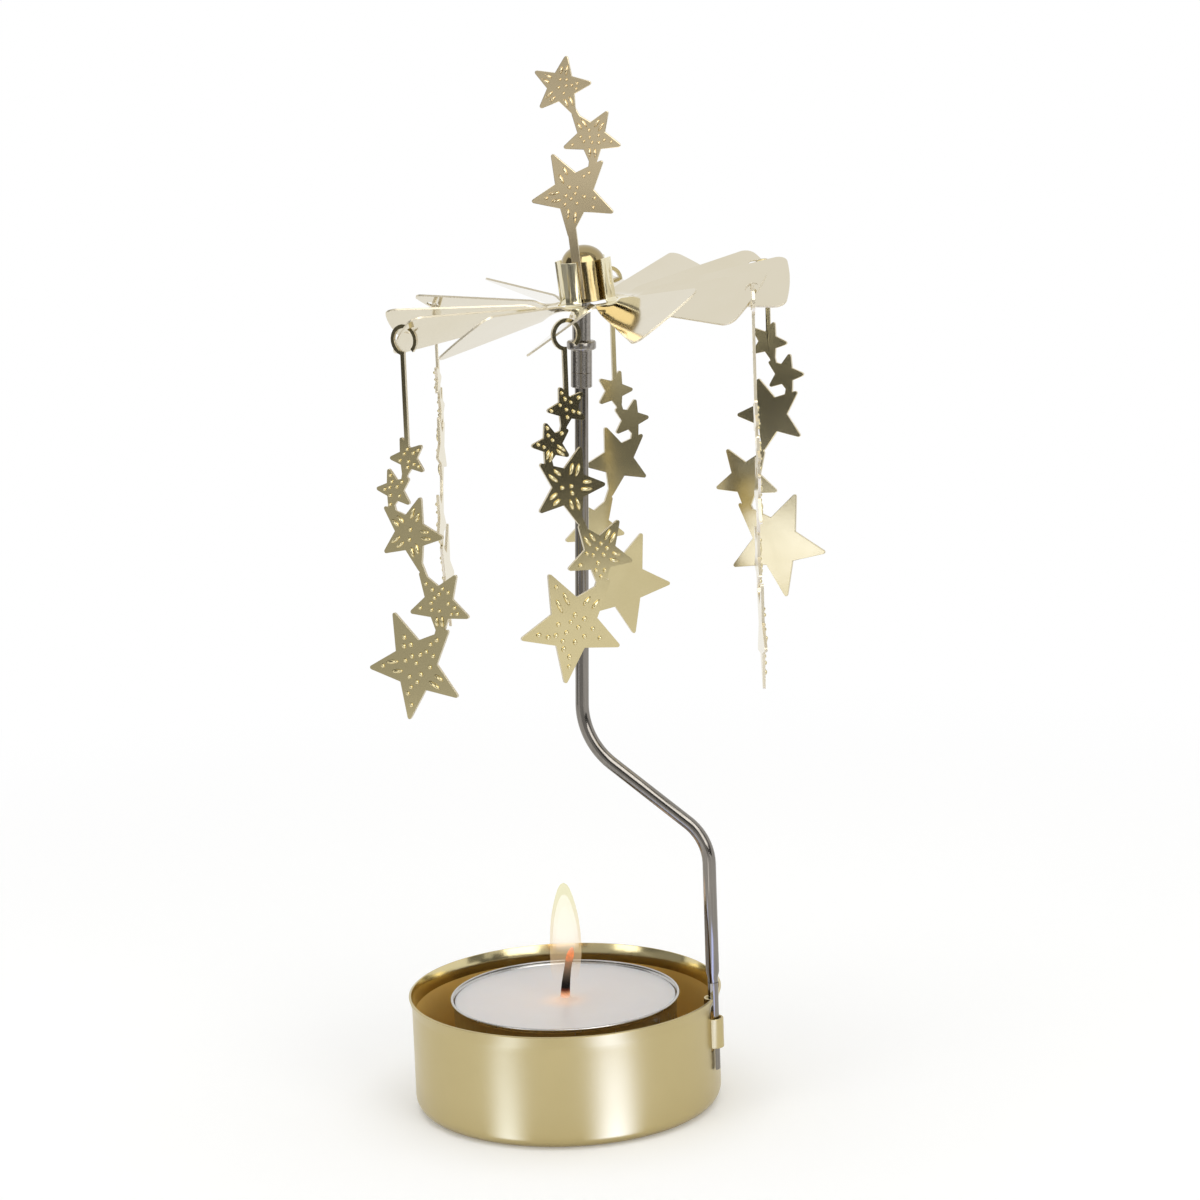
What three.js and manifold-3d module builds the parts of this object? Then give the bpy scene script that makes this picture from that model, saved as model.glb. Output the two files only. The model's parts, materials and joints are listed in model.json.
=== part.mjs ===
// Rotating candle holder: a tealight stands in a sheet-metal cup, a bent rod plugs into loops pressed from
// the cup's wall, and a wheel of twelve blades hung with star pendants turns on a needle in the warm air.
// Millimetres, +Z up. The origin is the centre of the cup's underside, and +X runs through the rod's foot.

import * as THREE from 'three';
import { mergeVertices } from 'three/addons/utils/BufferGeometryUtils.js';
import Module from 'manifold-3d';

const wasm = await Module();
wasm.setup();

// Fits
const CLEARANCE = 0.3;

// Candle cup
const CUP_RADIUS = 25.4;
const CUP_HEIGHT = 19;
const CUP_SHEET = 0.4;
const CUP_CORNER = 2.4;
const RIM_FLARE = 0.3;
const RIM_BAND = 2;
const LOOP_SLIT = 0.5;
const STRAP_BOTTOM = 10.6;
const STRAP_TOP = 15.6;

// Stand rod
const ROD_DIAMETER = 2.2;
const FOOT_DIAMETER = 1.7;
const FOOT_SHOULDER = 4.4;
const FOOT_TAPER = 1;
const FOOT_TIP_HEIGHT = 6.7;
const FORK_SLOT = 0.5;
const FORK_DEPTH = 0.9;
const INNER_LEG = 1.8;
const LOWER_BEND_HEIGHT = 45.8;
const LOWER_BEND_RADIUS = 8.5;
const UPPER_BEND_HEIGHT = 61.5;
const UPPER_BEND_RADIUS = 12;
const BEND_REACH = 20.8;
const ROD_LEAN_DEG = 2.1;
const ROD_TOP_LENGTH = 62.6;

// Flanged sleeve and needle at the top of the rod
const SLEEVE_GRIP = 4.6;
const SLEEVE_LOWER_DIAMETER = 3.4;
const SLEEVE_LOWER_LENGTH = 6.1;
const SLEEVE_FLANGE_DIAMETER = 4.7;
const SLEEVE_FLANGE_THICKNESS = 1.4;
const SLEEVE_UPPER_DIAMETER = 2.95;
const SLEEVE_UPPER_LENGTH = 7.5;
const NEEDLE_DIAMETER = 1.2;
const NEEDLE_SEAT = 3;
const NEEDLE_POINT = 2.4;
const NEEDLE_STANDOUT = 7;

// Rotor wheel
const BLADE_COUNT = 12;
const PENDANT_COUNT = BLADE_COUNT / 2;
const ROTOR_RADIUS = 32.25;
const ROTOR_SHEET = 0.4;
const ROTOR_PHASE_DEG = -21;
const ROTOR_TILT_DEG = 5.4;
const ROTOR_HIGH_SIDE_DEG = 25;
const ROTOR_DROP = 8.64;
const BLADE_HALF_ANGLE_DEG = 12;
const BLADE_PITCH_DEG = 29;
const BLADE_TWIST_LENGTH = 4.5;
const BLADE_CORNER = 1.8;
const HUB_RING_WIDTH = 1.35;
const HUB_RING_THICKNESS = 0.5;
const HANGING_HOLE = 2.2;
const HANGING_EDGE = 0.45;
const HANGING_SHIFT = 2.4;
const HANGING_YAW_DEG = 53.5;

// Collar of fingers on the wheel
const FINGER_COUNT = 4;
const FINGER_HALF_ANGLE_DEG = 18.5;
const FINGER_LEAD_DEG = 16.5;
const FINGER_HEIGHT = 7.1;
const FINGER_FOOT = 0.9;
const FINGER_FOOT_SHARE = 0.5;
const FINGER_FLARE = 0.25;

// Hub cap
const CAP_DIAMETER = 6.9;
const CAP_SHEET = 0.4;
const CAP_DOME = 2.8;

// Star ornaments: each star's centre and reach are shares of the chain's largest star, and its turn is clockwise
// from upright. A neck joins an arm of the star before to an arm of this one, with arms counted clockwise.
const STAR_POINTS = 5;
const STAR_SHEET = 0.45;
const STAR_WAIST = 0.44;
const STAR_TIP = 0.32;
const STAR_NECK = 1;
const STAR_NECK_SHARE = 0.55;
const HANGER_RING_DIAMETER = 4.95;
const HANGER_WIRE = 0.62;
const HANGER_ROOM = 0.44;
const HANGER_GAP_START_DEG = -90;
const HANGER_GAP_END_DEG = -48;
const STEM_WIDTH = 0.75;
const SHORT_DROP = 11.1;
const LONG_DROP = 18.6;
const PENDANT_STAR = 9.6;
const PENDANT_STARS = [
  { across: -0.029, down: 0, reach: 0.415, turn: -20 },
  { across: -0.329, down: 0.541, reach: 0.416, turn: -17, arms: [3, 1] },
  { across: -0.049, down: 1.241, reach: 0.703, turn: 21, arms: [3, 4] },
  { across: 0.463, down: 2.377, reach: 0.667, turn: 36, arms: [2, 4] },
  { across: -0.073, down: 3.458, reach: 1, turn: -25, arms: [2, 1] },
];
const ORNAMENT_TURN_DEG = -88;
const ORNAMENT_FIT = 0.15;
const ORNAMENT_STEM_WIDTH = 1.4;
const ORNAMENT_RISE = 10.8;
const ORNAMENT_STAR = 7.5;
const ORNAMENT_STARS = [
  { across: 0.142, down: 0, reach: 1, turn: -22.7 },
  { across: 0.681, down: -1.12, reach: 0.713, turn: -32, arms: [1, 3] },
  { across: 0.18, down: -2.223, reach: 0.713, turn: 17.3, arms: [0, 2] },
];

// Tealight
const TEALIGHT_DIAMETER = 38;
const TEALIGHT_HEIGHT = 17.8;
const TEALIGHT_SHEET = 0.3;
const TEALIGHT_TAPER = 0.5;
const TEALIGHT_BEAD = 0.5;
const WAX_BELOW_RIM = 1.3;
const WICK_DIAMETER = 1.4;
const WICK_STANDOUT = 9.2;
const WICK_LEAN = 1.5;
const SUSTAINER_DIAMETER = 12;
const SUSTAINER_NECK = 4;

// Finishes
const BRASS_SATIN = { color: 0xc6b67e, roughness: 0.35, metalness: 1 };
const BRASS_BRIGHT = { color: 0xd2c189, roughness: 0.15, metalness: 1 };
const STEEL = { color: 0x8e8a85, roughness: 0.3, metalness: 1 };
const ALUMINIUM = { color: 0xd3d4d6, roughness: 0.35, metalness: 1 };
const WAX = { color: 0xf1ede6, roughness: 0.5, metalness: 0 };
const WICK = { color: 0x2a211b, roughness: 0.9, metalness: 0 };

// Facets
const ROUND = 56;
const SMALL_ROUND = 24;
const HOLE_ROUND = 12;
const ROD_SIDES = 14;
const ROD_STEPS = 56;
const DOME_STEPS = 6;
const CORNER_STEPS = 4;
const WICK_SIDES = 10;
const WICK_STEPS = 20;
const FINGER_STEPS = 8;
const FINGER_ACROSS = 4;
const BLADE_ACROSS = 2;
const RING_STEPS = 10;
const TIP_STEPS = 3;
const WELD = 1e-4;

const rad = THREE.MathUtils.degToRad;

function part(name, geometry, finish) {
  const mesh = new THREE.Mesh(geometry, new THREE.MeshStandardMaterial(finish));
  mesh.name = name;
  return mesh;
}

function solid(geometry) {
  const bare = geometry.clone();
  bare.deleteAttribute('normal');
  bare.deleteAttribute('uv');
  const merged = mergeVertices(bare, WELD);
  return new wasm.Manifold(new wasm.Mesh({
    numProp: 3,
    vertProperties: new Float32Array(merged.attributes.position.array),
    triVerts: new Uint32Array(merged.index.array),
  }));
}

function geometryOf(manifold) {
  const mesh = manifold.getMesh();
  const geometry = new THREE.BufferGeometry();
  geometry.setAttribute('position', new THREE.BufferAttribute(new Float32Array(mesh.vertProperties), 3));
  geometry.setIndex(new THREE.BufferAttribute(new Uint32Array(mesh.triVerts), 1));
  geometry.computeVertexNormals();
  return geometry;
}

function join(geometries) {
  return geometries.map(solid).reduce((whole, piece) => whole.add(piece));
}

// A body turned about Z from radius and height pairs, which run upwards on the outside
function turned(profile, sides = ROUND) {
  const points = profile.map(([radius, height]) => new THREE.Vector2(radius, height));
  return new THREE.LatheGeometry(points, sides).rotateX(Math.PI / 2);
}

// Radius and height pairs along a round stretch, angles in degrees from +radius towards +height
function arc(radius, height, size, fromDeg, toDeg, steps = CORNER_STEPS, rise = size) {
  return Array.from({ length: steps + 1 }, (_, i) => {
    const angle = rad(fromDeg + (toDeg - fromDeg) * i / steps);
    return [radius + size * Math.cos(angle), height + rise * Math.sin(angle)];
  });
}

function post(diameter, bottom, top, x = 0, sides = SMALL_ROUND) {
  const height = top - bottom;
  return new THREE.CylinderGeometry(diameter / 2, diameter / 2, height, sides)
    .rotateX(Math.PI / 2).translate(x, 0, (top + bottom) / 2);
}

function block(xRange, width, zRange) {
  const [x0, x1] = xRange;
  const [z0, z1] = zRange;
  return new THREE.BoxGeometry(x1 - x0, width, z1 - z0).translate((x0 + x1) / 2, 0, (z0 + z1) / 2);
}

// A bent sheet: along and across run over the sheet from 0 to 1 and -1 to 1, and through from -0.5 to 0.5
function bentSheet(alongSteps, acrossSteps, place) {
  const geometry = new THREE.BoxGeometry(1, 1, 1, alongSteps, acrossSteps, 1);
  const position = geometry.attributes.position;
  for (let i = 0; i < position.count; i += 1) {
    const point = place(position.getX(i) + 0.5, position.getY(i) * 2, position.getZ(i));
    position.setXYZ(i, point.x, point.y, point.z);
  }
  return geometry;
}

// Candle cup, with two half loops pressed from its wall: one inwards at the rim, one outwards below it
const footX = CUP_RADIUS + CLEARANCE - FORK_SLOT / 2;
const loopBore = FOOT_DIAMETER + 2 * CLEARANCE;
const loopBottom = STRAP_TOP + LOOP_SLIT;

function cupBody() {
  const inner = CUP_RADIUS - CUP_SHEET;
  const rim = CUP_RADIUS + RIM_FLARE;
  const bandBottom = CUP_HEIGHT - RIM_BAND;
  const cornerIn = Math.max(CUP_CORNER - CUP_SHEET, CUP_SHEET / 2);
  return turned([
    [0, 0],
    ...arc(CUP_RADIUS - CUP_CORNER, CUP_CORNER, CUP_CORNER, -90, 0),
    [CUP_RADIUS, bandBottom],
    [rim, bandBottom + RIM_FLARE],
    [rim, CUP_HEIGHT],
    [rim - CUP_SHEET, CUP_HEIGHT],
    [rim - CUP_SHEET, bandBottom + RIM_FLARE],
    [inner, bandBottom],
    ...arc(inner - cornerIn, CUP_SHEET + cornerIn, cornerIn, 0, -90),
    [0, CUP_SHEET],
  ]);
}

function candleCup() {
  const bore = solid(post(loopBore, STRAP_BOTTOM - LOOP_SLIT, CUP_HEIGHT + LOOP_SLIT, footX));
  const tube = (bottom, top) => solid(post(loopBore + 2 * CUP_SHEET, bottom, top, footX)).subtract(bore);
  const wide = loopBore + 4 * CUP_SHEET;
  const outwards = [CUP_RADIUS - CUP_SHEET, footX + wide];
  const inwards = [footX - wide, CUP_RADIUS];
  const strap = tube(STRAP_BOTTOM, STRAP_TOP).intersect(solid(block(outwards, wide, [0, CUP_HEIGHT])));
  const loop = tube(loopBottom, CUP_HEIGHT).intersect(solid(block(inwards, wide, [0, CUP_HEIGHT])));
  const cup = solid(cupBody()).subtract(bore).add(strap).add(loop);
  return part('candle_cup', geometryOf(cup), BRASS_SATIN);
}

// Stand rod: a forked foot, two bends that bring the rod over the candle, and a straight top
const shoulderHeight = CUP_HEIGHT + FOOT_SHOULDER;
const upperBend = new THREE.Vector3(footX - BEND_REACH, 0, UPPER_BEND_HEIGHT);
const lean = new THREE.Vector3(Math.sin(rad(ROD_LEAN_DEG)), 0, Math.cos(rad(ROD_LEAN_DEG)));
const rodTop = upperBend.clone().addScaledVector(lean, ROD_TOP_LENGTH);

function bentPath(corners, radii) {
  const path = new THREE.CurvePath();
  let from = corners[0];
  for (let i = 1; i < corners.length - 1; i += 1) {
    const back = corners[i - 1].clone().sub(corners[i]).normalize();
    const ahead = corners[i + 1].clone().sub(corners[i]).normalize();
    const tangent = radii[i - 1] / Math.tan(back.angleTo(ahead) / 2);
    const start = corners[i].clone().addScaledVector(back, tangent);
    const end = corners[i].clone().addScaledVector(ahead, tangent);
    path.add(new THREE.LineCurve3(from, start));
    path.add(new THREE.QuadraticBezierCurve3(start, corners[i], end));
    from = end;
  }
  path.add(new THREE.LineCurve3(from, corners[corners.length - 1]));
  return path;
}

function roundShape(diameter, sides) {
  const points = Array.from({ length: sides }, (_, i) => {
    const angle = 2 * Math.PI * i / sides;
    return new THREE.Vector2(Math.cos(angle), Math.sin(angle)).multiplyScalar(diameter / 2);
  });
  return new THREE.Shape(points);
}

function standRod() {
  const path = bentPath([
    new THREE.Vector3(footX, 0, shoulderHeight),
    new THREE.Vector3(footX, 0, LOWER_BEND_HEIGHT),
    upperBend,
    rodTop,
  ], [LOWER_BEND_RADIUS, UPPER_BEND_RADIUS]);
  const options = { steps: ROD_STEPS, extrudePath: path };
  const shaft = new THREE.ExtrudeGeometry(roundShape(ROD_DIAMETER, ROD_SIDES), options);
  const footRadius = FOOT_DIAMETER / 2;
  const taperBottom = shoulderHeight - FOOT_TAPER;
  const foot = turned([
    [0, FOOT_TIP_HEIGHT],
    [footRadius, FOOT_TIP_HEIGHT],
    [footRadius, taperBottom],
    [ROD_DIAMETER / 2, shoulderHeight],
    [ROD_DIAMETER / 2, shoulderHeight + FOOT_TAPER],
    [0, shoulderHeight + FOOT_TAPER],
  ], ROD_SIDES).translate(footX, 0, 0);
  const slotRange = [footX - FORK_SLOT / 2, footX + FORK_SLOT / 2];
  const legRange = [footX - ROD_DIAMETER, slotRange[1]];
  const below = FOOT_TIP_HEIGHT - CLEARANCE;
  const slot = block(slotRange, 2 * ROD_DIAMETER, [below, taperBottom - FORK_DEPTH]);
  const legEnd = block(legRange, 2 * ROD_DIAMETER, [below, CUP_HEIGHT - INNER_LEG]);
  const rod = join([shaft, foot]).subtract(solid(slot)).subtract(solid(legEnd));
  return part('stand_rod', geometryOf(rod), STEEL);
}

// Sleeve and needle stand on the rod's leaning top. Their local Z starts at the sleeve's lower edge.
const sleeveRodBore = ROD_DIAMETER / 2 + CLEARANCE;
const sleeveFlangeTop = SLEEVE_LOWER_LENGTH + SLEEVE_FLANGE_THICKNESS;
const sleeveLength = sleeveFlangeTop + SLEEVE_UPPER_LENGTH;
const needleFoot = sleeveLength - NEEDLE_SEAT + CLEARANCE;
const needleTip = sleeveLength + NEEDLE_STANDOUT;

function pivotSleeve() {
  const lower = SLEEVE_LOWER_DIAMETER / 2;
  const flange = SLEEVE_FLANGE_DIAMETER / 2;
  const upper = SLEEVE_UPPER_DIAMETER / 2;
  const needleBore = NEEDLE_DIAMETER / 2 + CLEARANCE;
  const boreEnd = SLEEVE_GRIP + CLEARANCE;
  return part('pivot_sleeve', turned([
    [0, boreEnd],
    [sleeveRodBore, boreEnd],
    [sleeveRodBore, 0],
    [lower, 0],
    [lower, SLEEVE_LOWER_LENGTH],
    [flange, SLEEVE_LOWER_LENGTH],
    [flange, sleeveFlangeTop],
    [upper, sleeveFlangeTop],
    [upper, sleeveLength],
    [needleBore, sleeveLength],
    [needleBore, sleeveLength - NEEDLE_SEAT],
    [0, sleeveLength - NEEDLE_SEAT],
  ], SMALL_ROUND), STEEL);
}

function needlePin() {
  const radius = NEEDLE_DIAMETER / 2;
  return part('needle_pin', turned([
    [0, needleFoot],
    [radius, needleFoot],
    [radius, needleTip - NEEDLE_POINT],
    [0, needleTip],
  ], SMALL_ROUND), STEEL);
}

function standTop() {
  const group = new THREE.Group();
  group.rotation.y = rad(ROD_LEAN_DEG);
  group.position.copy(rodTop).addScaledVector(lean, -SLEEVE_GRIP);
  group.add(pivotSleeve(), needlePin());
  return group;
}

// The rotor rests on the needle's point, a little low on one side. Its local origin is that point. The collar leaves
// room between the cap and the fingers for the ornament's stem.
const capRadius = CAP_DIAMETER / 2;
const stemRadius = capRadius + ORNAMENT_FIT + STAR_SHEET / 2;
const collarRadius = stemRadius + STAR_SHEET / 2 + ORNAMENT_FIT + ROTOR_SHEET / 2;
const hubRingOuter = collarRadius + FINGER_FOOT + HUB_RING_WIDTH;
const holeRadius = ROTOR_RADIUS - HANGING_EDGE - HANGING_HOLE / 2;
const holeReach = Math.sqrt(holeRadius ** 2 - HANGING_SHIFT ** 2);
const bladePitch = rad(BLADE_PITCH_DEG);

function hubCap() {
  const inner = capRadius - CAP_SHEET;
  const top = CLEARANCE + CAP_SHEET;
  const shoulder = top - CAP_DOME;
  const bottom = HUB_RING_THICKNESS / 2 + CLEARANCE - ROTOR_DROP;
  const domeIn = CAP_DOME - CAP_SHEET;
  return part('hub_cap', turned([
    [0, top - CAP_SHEET],
    ...arc(0, shoulder, inner, 90, 0, DOME_STEPS, domeIn).slice(1),
    [inner, bottom],
    [capRadius, bottom],
    ...arc(0, shoulder, capRadius, 0, 90, DOME_STEPS, CAP_DOME).slice(0, -1),
    [0, top],
  ], SMALL_ROUND), BRASS_BRIGHT);
}

// How far a blade is turned about its own length: flat at the hub ring, at full pitch further out
function bladeTurn(radius) {
  return bladePitch * THREE.MathUtils.smoothstep(radius, hubRingOuter, hubRingOuter + BLADE_TWIST_LENGTH);
}

function bladeHalfWidth(radius) {
  const straight = radius * Math.tan(rad(BLADE_HALF_ANGLE_DEG));
  const intoCorner = Math.max(BLADE_CORNER - (ROTOR_RADIUS - radius), 0);
  return straight - BLADE_CORNER + Math.sqrt(BLADE_CORNER ** 2 - intoCorner ** 2);
}

// A point of the blade that lies along local X, with the edge towards +Y raised
function bladePoint(radius, sideways, through) {
  const turn = bladeTurn(radius);
  const reach = Math.sqrt(Math.max(radius ** 2 - sideways ** 2, 0));
  return new THREE.Vector3(
    reach,
    sideways * Math.cos(turn) - through * Math.sin(turn),
    sideways * Math.sin(turn) + through * Math.cos(turn) - ROTOR_DROP,
  );
}

// The radii where a blade has an edge: in the hub ring, through the twist and round the corners
const thirds = [0, 1 / 3, 2 / 3, 1];
const bladeRadii = [
  hubRingOuter - HUB_RING_WIDTH / 2,
  ...thirds.map((share) => hubRingOuter + BLADE_TWIST_LENGTH * share),
  ...thirds.map((share) => ROTOR_RADIUS - BLADE_CORNER * (1 - Math.sin(share * Math.PI / 2))),
];

function blade() {
  const steps = bladeRadii.length - 1;
  return bentSheet(steps, BLADE_ACROSS, (along, across, through) => {
    const radius = bladeRadii[Math.round(along * steps)];
    return bladePoint(radius, across * bladeHalfWidth(radius), through * ROTOR_SHEET);
  });
}

function hangingHole() {
  return post(HANGING_HOLE, -ROTOR_SHEET, ROTOR_SHEET, holeReach, HOLE_ROUND)
    .translate(0, HANGING_SHIFT, 0).rotateX(bladePitch).translate(0, 0, -ROTOR_DROP);
}

function hubRing() {
  const inner = collarRadius + FINGER_FOOT / 2;
  const bottom = -ROTOR_DROP - HUB_RING_THICKNESS / 2;
  const top = -ROTOR_DROP + HUB_RING_THICKNESS / 2;
  return turned([
    [inner, bottom],
    [hubRingOuter, bottom],
    [hubRingOuter, top],
    [inner, top],
    [inner, bottom],
  ]);
}

// A finger of the collar: a foot that curves up out of the hub ring, then an upright that flares a little
function finger() {
  return bentSheet(FINGER_STEPS, FINGER_ACROSS, (along, across, through) => {
    const bend = Math.min(along / FINGER_FOOT_SHARE, 1) * Math.PI / 2;
    const upright = Math.max((along - FINGER_FOOT_SHARE) / (1 - FINGER_FOOT_SHARE), 0);
    const flare = FINGER_FLARE * upright ** 2;
    const offset = through * ROTOR_SHEET;
    const radius = collarRadius + FINGER_FOOT * (1 - Math.sin(bend)) + flare - offset * Math.sin(bend);
    const height = FINGER_FOOT * (1 - Math.cos(bend)) + (FINGER_HEIGHT - FINGER_FOOT) * upright;
    const angle = -across * rad(FINGER_HALF_ANGLE_DEG);
    return new THREE.Vector3(
      radius * Math.cos(angle),
      radius * Math.sin(angle),
      height + offset * Math.cos(bend) - ROTOR_DROP,
    );
  });
}

// The first finger covers half of the ornament's stem
const firstFinger = rad(ORNAMENT_TURN_DEG - FINGER_LEAD_DEG);

function bladeAngle(index) {
  return rad(ROTOR_PHASE_DEG) + 2 * Math.PI * index / BLADE_COUNT;
}

function rotorWheel() {
  let wheel = solid(hubRing());
  for (let i = 0; i < FINGER_COUNT; i += 1) {
    const angle = firstFinger + 2 * Math.PI * i / FINGER_COUNT;
    wheel = wheel.add(solid(finger().rotateZ(angle)));
  }
  for (let i = 0; i < BLADE_COUNT; i += 1) {
    wheel = wheel.add(solid(blade().rotateZ(bladeAngle(i))));
  }
  for (let i = 0; i < PENDANT_COUNT; i += 1) {
    wheel = wheel.subtract(solid(hangingHole().rotateZ(bladeAngle(2 * i))));
  }
  return part('rotor_wheel', geometryOf(wheel), BRASS_SATIN);
}

// Flat star pieces are drawn upright in X and Y and extruded about Z = 0
function plate(shape) {
  const options = { depth: STAR_SHEET, bevelEnabled: false, curveSegments: RING_STEPS };
  return new THREE.ExtrudeGeometry(shape, options).translate(0, 0, -STAR_SHEET / 2);
}

// A point at a distance, with the angle clockwise from upright
function polar(angle, distance) {
  return new THREE.Vector2(Math.sin(angle), Math.cos(angle)).multiplyScalar(distance);
}

function armAngle(item, index) {
  return item.turn + 2 * Math.PI * index / STAR_POINTS;
}

// A star with rounded tips
function star(item) {
  const waist = item.reach * STAR_WAIST;
  const notch = Math.PI / STAR_POINTS;
  const halfTip = Math.atan2(waist * Math.sin(notch), item.reach - waist * Math.cos(notch));
  const tipCentre = item.reach - STAR_TIP / Math.sin(halfTip);
  const points = [];
  for (let i = 0; i < STAR_POINTS; i += 1) {
    const angle = armAngle(item, i);
    for (let j = 0; j <= TIP_STEPS; j += 1) {
      const swing = (Math.PI / 2 - halfTip) * (2 * j / TIP_STEPS - 1);
      points.push(polar(angle, tipCentre).add(polar(angle + swing, STAR_TIP)).add(item.centre));
    }
    points.push(polar(angle + notch, waist).add(item.centre));
  }
  return plate(new THREE.Shape(points));
}

function bar(from, to, width) {
  const length = from.distanceTo(to);
  const angle = Math.atan2(to.y - from.y, to.x - from.x);
  return new THREE.BoxGeometry(length, width, STAR_SHEET).rotateZ(angle)
    .translate((from.x + to.x) / 2, (from.y + to.y) / 2, 0);
}

// The plates of a chain whose largest star has that size and whose first star hangs at that drop
function starChain(stars, size, drop) {
  const items = stars.map(({ across, down, reach, turn, arms }) => ({
    centre: new THREE.Vector2(across * size, -down * size - drop),
    reach: reach * size,
    turn: rad(turn),
    arms,
  }));
  const neckEnd = (item, index) => polar(armAngle(item, index), item.reach * STAR_NECK_SHARE).add(item.centre);
  const necks = items.slice(1).map((item, i) => {
    const [before, here] = item.arms;
    return bar(neckEnd(items[i], before), neckEnd(item, here), STAR_NECK);
  });
  return { plates: [...items.map(star), ...necks], first: items[0].centre };
}

function hangerRing() {
  const outer = HANGER_RING_DIAMETER / 2;
  const shape = new THREE.Shape();
  shape.absarc(0, 0, outer, rad(HANGER_GAP_END_DEG), rad(HANGER_GAP_START_DEG + 360), false);
  shape.absarc(0, 0, outer - HANGER_WIRE, rad(HANGER_GAP_START_DEG + 360), rad(HANGER_GAP_END_DEG), true);
  return plate(shape);
}

function pendantGeometry(drop) {
  const chain = starChain(PENDANT_STARS, PENDANT_STAR, drop);
  const stemTop = new THREE.Vector2(-STEM_WIDTH / 2, HANGER_WIRE / 2 - HANGER_RING_DIAMETER / 2);
  const stem = bar(stemTop, new THREE.Vector2(-STEM_WIDTH / 2, chain.first.y), STEM_WIDTH);
  return geometryOf(join([hangerRing(), stem, ...chain.plates]));
}

// Where a pendant hangs: its ring runs through the hole and round the blade's edge, square to neither
function hangerPlace(rotor, index) {
  const yaw = rad(HANGING_YAW_DEG);
  const along = Math.cos(yaw);
  const sideways = -Math.sin(yaw) / Math.cos(bladePitch);
  const span = along ** 2 + sideways ** 2;
  const half = holeReach * along + HANGING_SHIFT * sideways;
  const edge = (Math.sqrt(half ** 2 + span * (ROTOR_RADIUS ** 2 - holeRadius ** 2)) - half) / span;
  const onBlade = (distance) => {
    const sway = HANGING_SHIFT + distance * sideways;
    const local = new THREE.Vector3(holeReach + distance * along, sway * Math.cos(bladePitch),
      sway * Math.sin(bladePitch) - ROTOR_DROP);
    return rotor.localToWorld(local.applyAxisAngle(new THREE.Vector3(0, 0, 1), bladeAngle(2 * index)));
  };
  const inner = onBlade(HANGING_HOLE / 2 / Math.sqrt(span));
  const outer = onBlade(edge);
  const strip = outer.clone().sub(inner);
  const level = new THREE.Vector3(strip.x, strip.y, 0).normalize();
  const normal = new THREE.Vector3(-level.y, level.x, 0);
  const below = normal.clone().cross(strip).normalize();
  if (below.z > 0) below.negate();
  const roomy = HANGER_RING_DIAMETER / 2 - HANGER_WIRE - HANGER_ROOM;
  const halfStrip = strip.length() / 2;
  const depth = Math.sqrt(Math.max(roomy ** 2 - halfStrip ** 2, 0)) - ROTOR_SHEET / 2;
  const centre = inner.lerp(outer, 0.5).addScaledVector(below, depth);
  return { centre, facing: Math.atan2(normal.y, normal.x) };
}

function hangPendant(rotor, index) {
  const { centre, facing } = hangerPlace(rotor, index);
  const drop = index % 2 === 0 ? LONG_DROP : SHORT_DROP;
  const mesh = part(`pendant_${index + 1}`, pendantGeometry(drop), BRASS_SATIN);
  mesh.rotation.x = Math.PI / 2;
  const group = new THREE.Group();
  group.rotation.z = facing + Math.PI / 2;
  group.position.copy(centre);
  group.add(mesh);
  return group;
}

function topOrnament() {
  const collarTop = FINGER_HEIGHT - ROTOR_DROP;
  const chain = starChain(ORNAMENT_STARS, ORNAMENT_STAR, -collarTop - ORNAMENT_RISE);
  const stemFoot = new THREE.Vector2(0, CLEARANCE + FINGER_FOOT - ROTOR_DROP);
  const stem = bar(stemFoot, new THREE.Vector2(0, chain.first.y), ORNAMENT_STEM_WIDTH);
  const mesh = part('top_ornament', geometryOf(join([stem, ...chain.plates])), BRASS_SATIN);
  mesh.rotation.x = Math.PI / 2;
  mesh.position.y = -stemRadius;
  const group = new THREE.Group();
  group.rotation.z = rad(ORNAMENT_TURN_DEG) + Math.PI / 2;
  group.add(mesh);
  return group;
}

function rotorGroup(pivot) {
  const group = new THREE.Group();
  const high = rad(ROTOR_HIGH_SIDE_DEG);
  group.position.copy(pivot);
  group.quaternion.setFromAxisAngle(
    new THREE.Vector3(Math.sin(high), -Math.cos(high), 0),
    rad(ROTOR_TILT_DEG),
  );
  group.add(rotorWheel(), hubCap(), topOrnament());
  group.updateMatrixWorld(true);
  return group;
}

// Tealight: a pressed aluminium shell, wax with a well for the wick, and the wick in its sustainer
const shellBottom = CUP_SHEET;
const shellRadius = TEALIGHT_DIAMETER / 2 - TEALIGHT_BEAD;
const wickBore = WICK_DIAMETER / 2 + CLEARANCE;
const neckRadius = wickBore + TEALIGHT_SHEET;

function tealightShell() {
  const foot = shellRadius - TEALIGHT_TAPER;
  const bead = TEALIGHT_DIAMETER / 2;
  return part('tealight_shell', turned([
    [0, 0],
    [foot, 0],
    [shellRadius, TEALIGHT_HEIGHT - 2 * TEALIGHT_BEAD],
    [bead, TEALIGHT_HEIGHT - TEALIGHT_BEAD],
    [shellRadius, TEALIGHT_HEIGHT],
    [shellRadius - TEALIGHT_SHEET, TEALIGHT_HEIGHT],
    [foot - TEALIGHT_SHEET, TEALIGHT_SHEET],
    [0, TEALIGHT_SHEET],
  ]), ALUMINIUM);
}

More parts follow.
